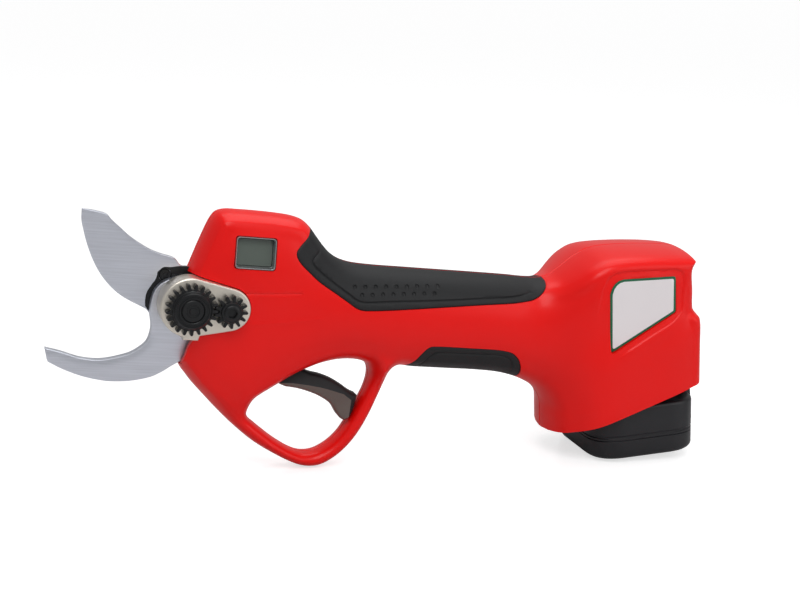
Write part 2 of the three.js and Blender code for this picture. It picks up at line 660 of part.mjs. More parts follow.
function addTrigger() {
  const [x, z] = triggerPivot;
  const core = slab(polygon(triggerOutline), -3, 3);
  const full = slab(polygon(triggerOutline), -triggerHalf, triggerHalf);
  const springRoom = pinY(x, z, 3.7, 3.2, 8, 20).add(box([44, 3.2, -30.5], [58, 8, -22]));
  const trigger = full.subtract(springRoom).add(core).subtract(pinY(x, z, 1.56, -10, 10, 20));
  place('trigger', trigger, greyPlastic);
  place('trigger_pin', pinY(x, z, 1.5, -8.8, 8.8, 20), brightSteel);

  const wire = 0.4;
  const turns = 2.5;
  const stations = [new THREE.Vector3(x - 3.4, 3.8, z + 12)];
  for (let k = 0; k <= turns * 10; k++) {
    const angle = Math.PI - (2 * Math.PI * k) / 10;
    stations.push(new THREE.Vector3(x + 2.6 * Math.cos(angle), 3.8 + (k / 10) * 0.7, z + 2.6 * Math.sin(angle)));
  }
  place('trigger_spring', tube(stations, wire, 3), brightSteel);

  const sensor = unite(box([51, -12.4, -17.6], [61, 12.4, -16]), box([54, -3, -19.2], [58, 3, -17.5]));
  place('trigger_sensor', sensor, boardGreen);
}

// A closed round wire along a smooth curve through points.
function tube(points, radius, curveSegments) {
  const curve = new THREE.CatmullRomCurve3(points, false, 'centripetal');
  const settings = { steps: points.length * 2, extrudePath: curve, curveSegments };
  return solid(new THREE.ExtrudeGeometry(disc(radius), settings));
}

// ---------------------------------------------------------------- display and electronics
function addDisplay() {
  const frameWidth = 2;
  const bezel = displayBox(0.12, -15.3, -9.6).subtract(displayBox(frameWidth, -20, 0));
  place('display_bezel', bezel, brightSteel);
  place('display_lens', displayBox(frameWidth + 0.1, -13.6, -12.8), glassPane);
  place('display_module', displayBox(frameWidth + 0.1, -12.7, -9.8), blackPlastic);
}

function addElectronics() {
  const board = [
    box([124, -12, -3], [163, 12, -1.4]),
    box([128, -9, -1.5], [134, 9, 3]),
    box([140, 2, -1.5], [146, 8, 0.8]),
    box([138, -10, -1.5], [142, -4, 1.2]),
    pinX(-5.5, 3, 4.5, 146, 158, 24),
    pinX(5.5, 3, 4.5, 149, 161, 24),
  ];
  place('control_board', unite(...board), boardGreen);
  const block = unite(packBox(-39.4, -21.7, -8, 8, 18, 34.5), packBox(-22, -19.3, -2.8, 2.8, 19, 33));
  place('bay_contact_block', block, blackPlastic);
  for (const [name, y] of [['motor_lead_1', -9.4], ['motor_lead_2', 9.4]]) {
    const points = [[121.2, 0], [122.2, 0.1], [123.8, 2], [125.4, 2], [127.7, 1.6]];
    const path = points.map(([x, z]) => new THREE.Vector3(x, y * (x > 125 ? 0.85 : 1), z));
    place(name, tube(path, 0.9, 4), copperWire);
  }
  const points = [[163.2, -2.2], [166, -2], [169, 0.5], [171, 1.3], [172.6, 1.3]];
  place('battery_lead', tube(points.map(([x, z]) => new THREE.Vector3(x, 0, z)), 1.3, 4), copperWire);
}

// ---------------------------------------------------------------- battery pack
const skin = 1.3;                 // wall of the lobes
const collarInner = 22.2;
const latchY = 13;
const stripTop = 18;
const stripBottom = 33;

function addBattery() {
  const collar = roundedSquare(baseHalf, 15);
  const cavity = roundedSquare(collarInner, 10.5);
  const latchPocket = packBox(24.8, 34, -latchY, latchY, collarTop - 1, capTop + 1);
  const pack = unite(packBar(clover(), packTop, collarTop + 1, 6), packBar(collar, collarTop, capTop, 8))
    .subtract(packBar(clover(skin), packTop + 1.6, collarTop + 4, 5))
    .subtract(packBar(cavity, collarTop + 2, capTop + 2, 6))
    .subtract(latchPocket);
  place('battery_case', pack, blackPlastic);

  const lip = packBar(roundedSquare(collarInner - 0.2, 10.3), capTop - 3, capTop + 1, 6);
  const cap = packBar(collar, capTop + 0.3, packBottom, 8)
    .add(lip)
    .subtract(packBar(roundedSquare(collarInner - 1.8, 9), capTop - 5, packBottom - 2.4, 6))
    .subtract(packBar(roundedSquare(17, 4), packBottom - 0.6, packBottom + 5, 3));
  place('battery_base_cap', cap, blackPlastic);
  place('battery_label', packBar(roundedSquare(16.7, 3.7), packBottom - 0.55, packBottom - 0.1, 3), labelWhite);

  for (let cell = 0; cell < 4; cell++) {
    const middle = (Math.PI / 2) * (cell + 0.5);
    const offset = lobeOffset * Math.SQRT2;
    const can = disc(9.15);
    const bar = new THREE.ExtrudeGeometry(can, { depth: 65, bevelEnabled: false, curveSegments: 14 });
    bar.translate(packCentre + offset * Math.cos(middle), offset * Math.sin(middle), -73.5);
    place(`battery_cell_${cell + 1}`, inBay(bar), cellBlue);
  }
  place('cell_board', packBar(roundedSquare(19.9, 9), 75, 76.6, 4), boardGreen);

  const strip = [valley + 0.02, valley + 0.7];
  const strips = [
    packBox(-strip[1], -strip[0], -2.4, 2.4, stripTop, stripBottom),
    packBox(strip[0], strip[1], -2.4, 2.4, stripTop, stripBottom),
    packBox(-2.4, 2.4, -strip[1], -strip[0], stripTop, stripBottom),
    packBox(-2.4, 2.4, strip[0], strip[1], stripTop, stripBottom),
  ];
  strips.forEach((body, i) => place(`contact_strip_${i + 1}`, body, brightSteel));
  addLatch();
}

// The spring latch on the pack's rear: a tongue with a hook and a ribbed thumb pad that narrows upwards.
function addLatch() {
  const padTop = 51;
  const padBottom = 81.4;
  const padFace = 30;
  const pad = new THREE.ExtrudeGeometry(
    polygon([[-12.5, -padBottom], [12.5, -padBottom], [8.5, -padTop], [-8.5, -padTop]]),
    { depth: padFace - 27.2, bevelEnabled: false },
  );
  pad.rotateX(Math.PI / 2);
  pad.rotateZ(Math.PI / 2);
  pad.translate(packCentre + 27.2, 0, 0);
  const ribs = [];
  for (let down = 58; down < 80; down += 4) {
    ribs.push(packBox(padFace - 0.2, padFace + 1, -7.5, 7.5, down, down + 1.6));
  }
  const latch = unite(
    inBay(pad),
    packBox(24.2, 27.4, -4.5, 4.5, 51.2, 64.6),
    packBox(24.2, 25.8, -4.5, 4.5, 43, 52),
    packBox(25.6, 27, -4.5, 4.5, 43, 45),
    ...ribs,
  );
  place('battery_latch', latch, blackPlastic);
}

group.name = 'battery_pruner';
addShells();
addJaw();
addBlade();
addAdjuster();
addFrame();
addDrive();
addTrigger();
addDisplay();
addElectronics();
addBattery();

export default group;
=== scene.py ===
import json
import math
import bmesh
import bpy
import numpy as np
from mathutils import Matrix, Vector
from mathutils.geometry import delaunay_2d_cdt

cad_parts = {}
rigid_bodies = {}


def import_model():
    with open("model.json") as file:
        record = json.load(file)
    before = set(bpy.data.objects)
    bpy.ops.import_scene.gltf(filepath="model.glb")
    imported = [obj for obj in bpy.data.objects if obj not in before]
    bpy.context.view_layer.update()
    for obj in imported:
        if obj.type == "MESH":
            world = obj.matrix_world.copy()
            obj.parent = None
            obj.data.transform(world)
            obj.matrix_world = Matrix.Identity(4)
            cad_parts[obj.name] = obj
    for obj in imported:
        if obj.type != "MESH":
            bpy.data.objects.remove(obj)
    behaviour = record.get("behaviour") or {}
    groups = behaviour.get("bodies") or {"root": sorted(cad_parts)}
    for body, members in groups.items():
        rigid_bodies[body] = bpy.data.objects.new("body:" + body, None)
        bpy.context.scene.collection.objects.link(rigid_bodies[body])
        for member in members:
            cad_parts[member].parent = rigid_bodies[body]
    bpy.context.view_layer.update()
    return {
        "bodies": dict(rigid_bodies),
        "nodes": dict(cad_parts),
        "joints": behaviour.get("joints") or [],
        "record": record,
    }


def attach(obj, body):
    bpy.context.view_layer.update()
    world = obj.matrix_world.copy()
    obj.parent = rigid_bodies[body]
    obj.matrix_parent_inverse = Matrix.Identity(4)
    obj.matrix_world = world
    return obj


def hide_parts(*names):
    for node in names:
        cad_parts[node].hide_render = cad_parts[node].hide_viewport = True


# Battery electric pruner: the looks. Outlines are side views (x, z) in millimetres, drawn from the blade pivot:
# +X back to the battery bay, +Z up, -Y the left side that the camera sees. PIVOT moves them into the frame.

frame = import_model()
MM = 0.001
JOINT_PLACE = {joint["name"]: joint.get("pos_m") for joint in frame["joints"]}
PIVOT = Vector(JOINT_PLACE["blade_pivot"])

# ---------------------------------------------------------------- sizes
SEAM = 0.14                     # half the gap between the two shells
WALL = 2.6                      # shell wall
BAY_TILT = math.radians(9)      # the battery bay leans back from vertical
PACK_CENTRE = 212.0             # pack axis, measured across the bay
MOUTH_REAR = (249.5, -17.3)     # the bay's slanted mouth
MOUTH_FRONT = (176.0, -52.8)
LOCK_X = 17.1                   # centre distance of the two adjusting gears
BOLT_RADIUS = 5.0
BOLT_BORE = 5.06
LOCK_BORE = 2.56
PIN_BORE = 1.56                 # for the blade screws, the frame screws and the trigger pin
BLADE_BORE = 7.05
BODY_HOLE = 9.2                 # the right shell's hole round the pivot bolt
SCREW_WELL = 3.2
SCREW_POST = 4.4
FILL_START = 5.5                # loose mesh points begin this far in from the body's edge
FILL_STEP = 1.5
BLEND_START = 4.6               # the smoothed thickness takes over from here inwards
SMOOTHING_ROUNDS = 60
TILT = Matrix.Rotation(-BAY_TILT, 4, "Y")


def bay(across, down):
    """A point in the battery bay's own axes, as (x, z)."""
    return (across * math.cos(BAY_TILT) + down * math.sin(BAY_TILT),
            across * math.sin(BAY_TILT) - down * math.cos(BAY_TILT))


def smoothstep(t):
    t = np.clip(t, 0.0, 1.0)
    return t * t * (3 - 2 * t)


# ---------------------------------------------------------------- side-view curves
def spline(points, step, closed=True):
    """A centripetal Catmull-Rom curve through points, sampled about every step mm."""
    p = np.array(points, float)
    n = len(p)
    out = []
    for i in range(n if closed else n - 1):
        if closed:
            a, b, c, d = p[(i - 1) % n], p[i], p[(i + 1) % n], p[(i + 2) % n]
        else:
            b, c = p[i], p[i + 1]
            a = p[i - 1] if i > 0 else 2 * b - c
            d = p[i + 2] if i + 2 < n else 2 * c - b
        count = max(1, round(np.linalg.norm(c - b) / step))
        t1 = np.linalg.norm(b - a) ** 0.5 + 1e-9
        t2 = t1 + np.linalg.norm(c - b) ** 0.5 + 1e-9
        t3 = t2 + np.linalg.norm(d - c) ** 0.5 + 1e-9
        for k in range(count):
            t = t1 + (t2 - t1) * k / count
            ab = a + (b - a) * t / t1
            bc = b + (c - b) * (t - t1) / (t2 - t1)
            cd = c + (d - c) * (t - t2) / (t3 - t2)
            abc = ab + (bc - ab) * t / t2
            bcd = bc + (cd - bc) * (t - t1) / (t3 - t1)
            out.append(abc + (bcd - abc) * (t - t1) / (t2 - t1))
    if not closed:
        out.append(p[-1])
    return np.array(out)


def straight(points, step, closed=True):
    """A polyline with its corners kept, sampled about every step mm."""
    p = np.array(points, float)
    out = []
    for i in range(len(p) if closed else len(p) - 1):
        a, b = p[i], p[(i + 1) % len(p)]
        count = max(1, round(np.linalg.norm(b - a) / step))
        out += [a + (b - a) * k / count for k in range(count)]
    if not closed:
        out.append(p[-1])
    return np.array(out)


def rounded(points, radius, step=0.7):
    """A closed polygon with each corner rounded to radius."""
    p = np.array(points, float)
    out = []
    for i in range(len(p)):
        a, b, c = p[i - 1], p[i], p[(i + 1) % len(p)]
        u, v = a - b, c - b
        lu, lv = np.linalg.norm(u), np.linalg.norm(v)
        u, v = u / lu, v / lv
        half = math.acos(max(-1.0, min(1.0, float(u @ v)))) / 2
        reach = min(radius / math.tan(half), 0.45 * lu, 0.45 * lv)
        start, end = b + u * reach, b + v * reach
        turns = max(2, round((math.pi - 2 * half) * radius / step))
        for k in range(turns + 1):
            t = k / turns
            out.append((1 - t) ** 2 * start + 2 * t * (1 - t) * b + t * t * end)
    return straight(out, step)


def circle(x, z, radius, count=48, start=0.0, end=360.0):
    angles = np.radians(np.linspace(start, end, count, endpoint=end - start < 360))
    return np.stack([x + radius * np.cos(angles), z + radius * np.sin(angles)], 1)


def signed_area(loop):
    x, z = loop[:, 0], loop[:, 1]
    return 0.5 * np.sum(x * np.roll(z, -1) - z * np.roll(x, -1))


def offset(loop, distance):
    """The closed loop moved inwards by distance, point by point."""
    along = np.roll(loop, -1, 0) - np.roll(loop, 1, 0)
    along /= np.linalg.norm(along, axis=1)[:, None] + 1e-12
    inward = np.stack([-along[:, 1], along[:, 0]], 1) * np.sign(signed_area(loop))
    return loop + inward * distance


def distance_to(points, line, closed=True):
    """Distance from each point to a polyline."""
    a = line if closed else line[:-1]
    b = np.roll(line, -1, 0) if closed else line[1:]
    ab = b - a
    length = np.maximum(np.sum(ab * ab, 1), 1e-12)
    best = np.full(len(points), 1e9)
    for s in range(0, len(points), 4000):
        part = points[s:s + 4000]
        ap = part[:, None, :] - a[None]
        t = np.clip(np.sum(ap * ab[None], 2) / length[None], 0, 1)
        gap = ap - t[..., None] * ab[None]
        best[s:s + 4000] = np.sqrt(np.min(np.sum(gap * gap, 2), 1))
    return best


def inside(points, loop):
    """Whether each point is inside a closed loop."""
    x, z = points[:, 0], points[:, 1]
    result = np.zeros(len(points), bool)
    xa, za = loop[:, 0], loop[:, 1]
    xb, zb = np.roll(xa, -1), np.roll(za, -1)
    for i in range(len(loop)):
        crosses = (za[i] > z) != (zb[i] > z)
        with np.errstate(divide="ignore", invalid="ignore"):
            at = xa[i] + (z - za[i]) * (xb[i] - xa[i]) / (zb[i] - za[i])
        result ^= crosses & (x < at)
    return result


# ---------------------------------------------------------------- the body's outline
BODY_LINE = np.concatenate([spline([
    (-0.4, 12.3), (1.8, 19.4), (4.2, 26.9), (8, 37.0), (10.2, 40.0), (14, 41.4), (20, 41.6), (28, 41.6),
    (37, 41.3), (44.5, 40.6), (49, 39.3), (52.4, 36.8), (55.8, 33), (59.2, 29.2), (62.8, 25.8), (67, 23.3),
    (73, 21.6), (82, 20.9), (100, 20.7), (125, 20.6), (150, 20.4), (160, 20.1), (166, 20.5), (171, 22.2),
    (176, 26.4), (180.9, 30.8), (186.9, 35.1), (192, 37), (199.6, 38.4), (208, 39.4), (217, 40.1),
    (228, 40.5), (234.8, 39.8), (237.9, 36.8), bay(238.3, 4), bay(238.4, 14), bay(238.4, 20), bay(238.8, 23),
    bay(240.6, 25.5), bay(241.4, 29), bay(241.5, 40), bay(241.6, 60), bay(241.8, 80), bay(242, 104),
    bay(205, 104), bay(167.5, 104), bay(167.5, 90), bay(167.5, 72), (175.2, -38), (171, -32.5), (163, -28.4),
    (152, -25.7), (140, -24.9), (122, -24.8), (107.5, -24.7), (101, -24.4), (98.8, -25.5), (97.1, -27.8),
    (95.8, -31.8), (94.2, -37.1), (90.9, -46.8), (87.2, -55.4), (83.2, -62), (79, -66.9), (74.6, -70.6),
    (70.4, -73), (66.3, -74), (61.5, -73.9), (56.6, -72.6), (46.7, -68.2), (36.7, -62.6), (26.7, -55.1),
    (19, -48.4), (11.5, -41.3), (6.5, -36.4), (3, -32.4), (1.2, -30.3), (0.1, -28.6)],
    1.1, False), straight([(-1.2, -28.2), (-14, -28.2), (-14, 12.2), (-1.2, 12.2)], 1.1, False)])
HOLE_LINE = spline([
    (33.1, -49.9), (33.6, -47.4), (34.5, -45.2), (35.9, -43), (38.2, -41), (41.9, -38.4), (46.2, -35.4),
    (50.5, -32.4), (54.8, -29.7), (59.2, -27.4), (63.6, -25.4), (68.1, -23.9), (72.7, -22.9), (77.4, -22.5),
    (82, -22.8), (85.6, -24), (87.8, -26.8), (88.3, -31), (87.3, -36.1), (85.5, -41), (83, -47.2),
    (80.3, -53), (77.9, -57.4), (75, -61.1), (71.5, -64.2), (67.4, -66.6), (63.7, -67.5), (59.9, -67.4),
    (54.9, -65.8), (47.3, -61.7), (42.3, -58.3), (37.2, -54.6), (34.2, -52.2)], 1.0)
FRONT_NOTCH = straight([(-20, 12.6), (-0.4, 12.3), (3.5, 9), (4.6, -12.5), (2.0, -17.7), (0.0, -26.5),
                        (-0.2, -28.9), (-20, -28.9)], 1.0)
MOUTH_SLOPE = (MOUTH_REAR[1] - MOUTH_FRONT[1]) / (MOUTH_REAR[0] - MOUTH_FRONT[0])
MOUTH_LINE = straight([(150, MOUTH_FRONT[1] - 26 * MOUTH_SLOPE), (272, MOUTH_REAR[1] + 22.5 * MOUTH_SLOPE)],
                      1.1, False)


def in_body(points):
    return inside(points, BODY_LINE) & ~inside(points, HOLE_LINE)


def edge_distance(points):
    return np.minimum(distance_to(points, BODY_LINE), distance_to(points, HOLE_LINE))


# ---------------------------------------------------------------- the body's half thickness
SHOULDER = 3.7                  # the head's rounded rim ends this far in from its outline
SHOULDER_RADIUS = 16.5
RIM_HALF = 0.55                 # half the width of the groove along the seam
GROOVE_DEPTH = 0.38


def super_arch(d, reach, half, across, up):
    """Half thickness at distance d in from an edge that rounds over within reach."""
    t = np.clip(1 - d / reach, 0, 1)
    return half * (1 - t ** across) ** (1 / up)


def section(points, d):
    """Half thickness from the blend of the head, grip, guard and housing sections."""
    x, z = points[:, 0], points[:, 1]
    across = x * math.cos(BAY_TILT) + z * math.sin(BAY_TILT)
    arch = np.sqrt(np.maximum(SHOULDER_RADIUS ** 2 - (SHOULDER_RADIUS - np.minimum(d, SHOULDER)) ** 2, 0))
    head = arch + 5.6 * (1 - np.exp(-np.maximum(d - SHOULDER, 0) / 9))
    grip = super_arch(d, 21.5, 18, 2.3, 2.15)
    guard = super_arch(d, 3.6, 7, 2.2, 2.3)
    below = smoothstep((-6.0 - MOUTH_SLOPE * (196 - x) - z) / 1.6) * smoothstep((across - 172) / 14)
    crown = 22 * np.sqrt(np.clip(d, 0, 2.5) / 2.5)
    housing = crown + 5 * (1 - np.exp(-np.maximum(d - 2.5, 0) / 2.2)) + 2.8 * below * np.clip(d / 1.5, 0, 1)
    to_grip = smoothstep((x - 44) / 34)
    to_housing = smoothstep((across - 160) / 27)
    half = head * (1 - to_grip) + grip * to_grip
    half = half * (1 - to_housing) + housing * to_housing
    guard_start = np.interp(x, [20, 40, 70, 90], [37, 40, 40, 25])
    guard_full = guard_start + np.interp(x, [20, 40, 70, 90], [20, 15, 12, 13])
    to_guard = smoothstep((-z - guard_start) / (guard_full - guard_start))
    to_guard = np.where(x > 110, 0, to_guard)
    return half * (1 - to_guard) + guard * to_guard


class Relief:
    """The half thickness on a fine grid, smoothed inside so that no ridge runs down the middle."""
    step = 1.0
    low = np.array([-6.0, -112.0])
    high = np.array([264.0, 46.0])

    def __init__(self):
        xs = np.arange(self.low[0], self.high[0], self.step)
        zs = np.arange(self.low[1], self.high[1], self.step)
        grid = np.stack(np.meshgrid(xs, zs, indexing="ij"), 2)
        flat = grid.reshape(-1, 2)
        within = in_body(flat)
        d = np.zeros(len(flat))
        d[within] = edge_distance(flat[within])
        self.depth = d.reshape(grid.shape[:2])
        height = section(flat, d).reshape(grid.shape[:2])
        free = self.depth > BLEND_START
        for _ in range(SMOOTHING_ROUNDS):
            mean = (np.roll(height, 1, 0) + np.roll(height, -1, 0)
                    + np.roll(height, 1, 1) + np.roll(height, -1, 1)) / 4
            height = np.where(free, mean, height)
        self.height = height

    def __call__(self, points, d):
        near = section(points, d)
        place = (points - self.low) / self.step
        cell = np.clip(np.floor(place).astype(int), 0, np.array(self.height.shape) - 2)
        f = np.clip(place - cell, 0, 1)
        i, k = cell[:, 0], cell[:, 1]
        g = self.height
        far = (g[i, k] * (1 - f[:, 0]) * (1 - f[:, 1]) + g[i + 1, k] * f[:, 0] * (1 - f[:, 1])
               + g[i, k + 1] * (1 - f[:, 0]) * f[:, 1] + g[i + 1, k + 1] * f[:, 0] * f[:, 1])
        w = smoothstep((d - BLEND_START) / 4.0)
        return near * (1 - w) + far * w


relief = Relief()


# ---------------------------------------------------------------- mesh making
def sharpen(bm, limit=38.0):
    edge_angle = math.radians(limit)
    for face in bm.faces:
        face.smooth = True
    for edge in bm.edges:
        if len(edge.link_faces) == 2 and edge.calc_face_angle(0.0) > edge_angle:
            edge.smooth = False


def to_frame(bm):
    """From millimetres about the blade pivot to metres in the frame."""
    bmesh.ops.scale(bm, vec=(MM, MM, MM), verts=bm.verts)
    bmesh.ops.translate(bm, vec=PIVOT, verts=bm.verts)


def piece(bm, name, material, body, nodes=(), limit=38.0):
    """A bmesh, in millimetres, made into a piece that rides on a body and stands for CAD nodes, with the
    material in its one slot."""
    to_frame(bm)
    sharpen(bm, limit)
    mesh = bpy.data.meshes.new(name)
    bm.to_mesh(mesh)
    bm.free()
    obj = bpy.data.objects.new(name, mesh)
    bpy.context.scene.collection.objects.link(obj)
    mesh.materials.append(material)
    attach(obj, body)
    if nodes:
        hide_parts(*nodes)
    return obj


def triangulate(lines, extra):
    """The points and triangles of a mesh that keeps lines, [(points, closed)], and has extra loose points."""
    verts, edges = [], []
    for line, closed in lines:
        base = len(verts)
        verts += [Vector((float(p[0]), float(p[1]))) for p in line]
        count = len(line)
        edges += [(base + i, base + (i + 1) % count) for i in range(count if closed else count - 1)]
    verts += [Vector((float(p[0]), float(p[1]))) for p in extra]
    out = delaunay_2d_cdt(verts, edges, [], 0, 1e-5)
    points = np.array([tuple(v) for v in out[0]], float)
    tris = np.array([list(f) for f in out[2]], int)
    return points, tris


def ring_points(line, depths):
    """Points set in from a body edge by each depth, on its inner side only."""
    found = []
    for depth in depths:
        for side in (1, -1):
            ring = offset(line, depth * side)
            ring = ring[in_body(ring)]
            ring = ring[edge_distance(ring) > depth * 0.985 - 1e-4]
            found.append(ring)
    return np.concatenate(found)


def hex_points(low, high, step):
    rows = np.arange(low[1], high[1], step * 0.866)
    points = [(x + (step / 2 if i % 2 else 0), z)
              for i, z in enumerate(rows)
              for x in np.arange(low[0], high[0], step)]
    return np.array(points)


def slab_solid(points, tris, keep, top, bottom, side):
    """A closed solid between two height fields over the kept triangles; side -1 is left, +1 is right."""
    centres = points[tris].mean(1)
    tris = tris[keep(centres)]
    a, b, c = points[tris[:, 0]], points[tris[:, 1]], points[tris[:, 2]]
    area = (b[:, 0] - a[:, 0]) * (c[:, 1] - a[:, 1]) - (b[:, 1] - a[:, 1]) * (c[:, 0] - a[:, 0])
    tris = tris[np.abs(area) > 1e-7]
    area = area[np.abs(area) > 1e-7]
    flip = area < 0
    tris[flip] = tris[flip][:, ::-1]
    used = np.unique(tris)
    index = np.full(len(points), -1)
    index[used] = np.arange(len(used))
    tris = index[tris]
    p = points[used]
    up, low = top(p), bottom(p)
    low = np.minimum(low, up)
    bm = bmesh.new()
    tops = [bm.verts.new((x, side * y, z)) for (x, z), y in zip(p, up)]
    same = up - low < 1e-4
    lows = [tops[i] if same[i] else bm.verts.new((p[i][0], side * low[i], p[i][1])) for i in range(len(p))]
    seen = {}
    for t in tris:
        for i in range(3):
            seen[(t[i], t[(i + 1) % 3])] = seen.get((t[i], t[(i + 1) % 3]), 0) + 1

    def face(verts):
        loop = []
        for v in verts:
            if v not in loop:
                loop.append(v)
        if len(loop) > 2:
            if side > 0:
                loop.reverse()
            try:
                bm.faces.new(loop)
            except ValueError:
                pass

    for t in tris:
        face([tops[i] for i in t])
        face([lows[i] for i in reversed(t)])
    for (i, k) in seen:
        if (k, i) not in seen:
            face([tops[k], tops[i], lows[i], lows[k]])
    return bm


def lathe(profile, segments=64):
    """A closed turned solid about Y from (radius, y) points; radius 0 ends close it."""
    bm = bmesh.new()
    rings = []
    for radius, y in profile:
        if radius < 1e-6:
            rings.append([bm.verts.new((0, y, 0))])
        else:
            angles = [2 * math.pi * k / segments for k in range(segments)]
            rings.append([bm.verts.new((radius * math.cos(t), y, radius * math.sin(t))) for t in angles])
    pairs = list(zip(rings, rings[1:]))
    if len(rings[0]) > 1 and len(rings[-1]) > 1:
        pairs.append((rings[-1], rings[0]))
    for low, high in pairs:
        for k in range(segments):
            n = (k + 1) % segments
            quad = [low[k % len(low)], low[n % len(low)], high[n % len(high)], high[k % len(high)]]
            loop = []
            for v in quad:
                if v not in loop:
                    loop.append(v)
            if len(loop) > 2:
                bm.faces.new(loop)
    bmesh.ops.recalc_face_normals(bm, faces=bm.faces)
    return bm


def rod(radius, y0, y1, segments, x=0.0, z=0.0):
    """A plain cylinder along Y."""
    return move(lathe([(0, y0), (radius, y0), (radius, y1), (0, y1)], segments), (x, 0, z))


def prism(loop, y0, y1, bevel=0.0, steps=2):
    """A side-view loop made into a solid from y0 to y1, its edges rounded by bevel."""
    bm = bmesh.new()
    low = [bm.verts.new((x, y0, z)) for x, z in loop]
    face = bm.faces.new(low)
    made = bmesh.ops.extrude_face_region(bm, geom=[face])
    moved = [v for v in made["geom"] if isinstance(v, bmesh.types.BMVert)]
    bmesh.ops.translate(bm, vec=(0, y1 - y0, 0), verts=moved)
    bmesh.ops.recalc_face_normals(bm, faces=bm.faces)
    if bevel:
        rims = [e for e in bm.edges if abs(e.verts[0].co.y - e.verts[1].co.y) < 1e-6]
        bmesh.ops.bevel(bm, geom=rims, offset=bevel, segments=steps, profile=0.5, affect="EDGES")
    return bm


def move(bm, vector=(0, 0, 0), matrix=None):
    if matrix is not None:
        bmesh.ops.transform(bm, matrix=matrix, verts=bm.verts)
    bmesh.ops.translate(bm, vec=vector, verts=bm.verts)
    return bm


def block(low, high, bevel=0.0, steps=2):
    bm = bmesh.new()
    made = bmesh.ops.create_cube(bm, size=1.0)
    size = [h - l for l, h in zip(low, high)]
    bmesh.ops.scale(bm, vec=size, verts=made["verts"])
    bmesh.ops.translate(bm, vec=[(h + l) / 2 for l, h in zip(low, high)], verts=made["verts"])
    if bevel:
        bmesh.ops.bevel(bm, geom=bm.edges[:], offset=bevel, segments=steps, profile=0.5, affect="EDGES")
    return bm


def pack_block(low, high, bevel=0.0, steps=2):
    """A block in the pack's own axes: across from its middle, along Y, and up."""
    shift = np.array((PACK_CENTRE, 0, 0))
    return move(block(tuple(shift + low), tuple(shift + high), bevel, steps), matrix=TILT)


def loft(rings, closed_tube=False):
    """A solid through rings of 3-D points, capped at both ends or joined end to start."""
    bm = bmesh.new()
    made = [[bm.verts.new(p) for p in ring] for ring in rings]
    pairs = list(zip(made, made[1:]))
    if closed_tube:
        pairs.append((made[-1], made[0]))
    for low, high in pairs:
        count = len(low)
        for k in range(count):
            bm.faces.new([low[k], low[(k + 1) % count], high[(k + 1) % count], high[k]])
    if not closed_tube:
        bm.faces.new(made[0])
        bm.faces.new(made[-1])
    bmesh.ops.recalc_face_normals(bm, faces=bm.faces)
    return bm


def cut(obj, tool_bm, operation="DIFFERENCE"):
    """Cuts a closed bmesh, in millimetres, out of a piece."""
    to_frame(tool_bm)
    mesh = bpy.data.meshes.new("tool")
    tool_bm.to_mesh(mesh)
    tool_bm.free()
    tool = bpy.data.objects.new("tool", mesh)
    bpy.context.scene.collection.objects.link(tool)
    modifier = obj.modifiers.new("cut", "BOOLEAN")
    modifier.operation = operation
    modifier.solver = "EXACT"
    modifier.object = tool
    bpy.context.view_layer.update()
    evaluated = obj.evaluated_get(bpy.context.evaluated_depsgraph_get())
    result = bpy.data.meshes.new_from_object(evaluated)
    obj.modifiers.clear()
    bm = bmesh.new()
    bm.from_mesh(result)
    sharpen(bm)
    bm.to_mesh(result)
    bm.free()
    materials = list(obj.data.materials)
    wanted = [polygon.material_index for polygon in result.polygons]
    obj.data = result
    obj.data.materials.clear()
    for material in materials:
        obj.data.materials.append(material)
    result.polygons.foreach_set("material_index", wanted)
    bpy.data.objects.remove(tool)
    return obj


# ---------------------------------------------------------------- materials
def rgb(red, green, blue):
    """An 0 to 255 screen colour as linear light."""
    return tuple(((c / 255 + 0.055) / 1.055) ** 2.4 if c > 10 else c / 255 / 12.92
                 for c in (red, green, blue))


def tint(colour, factor):
    return tuple(min(1.0, c * factor) for c in colour) + (1.0,)


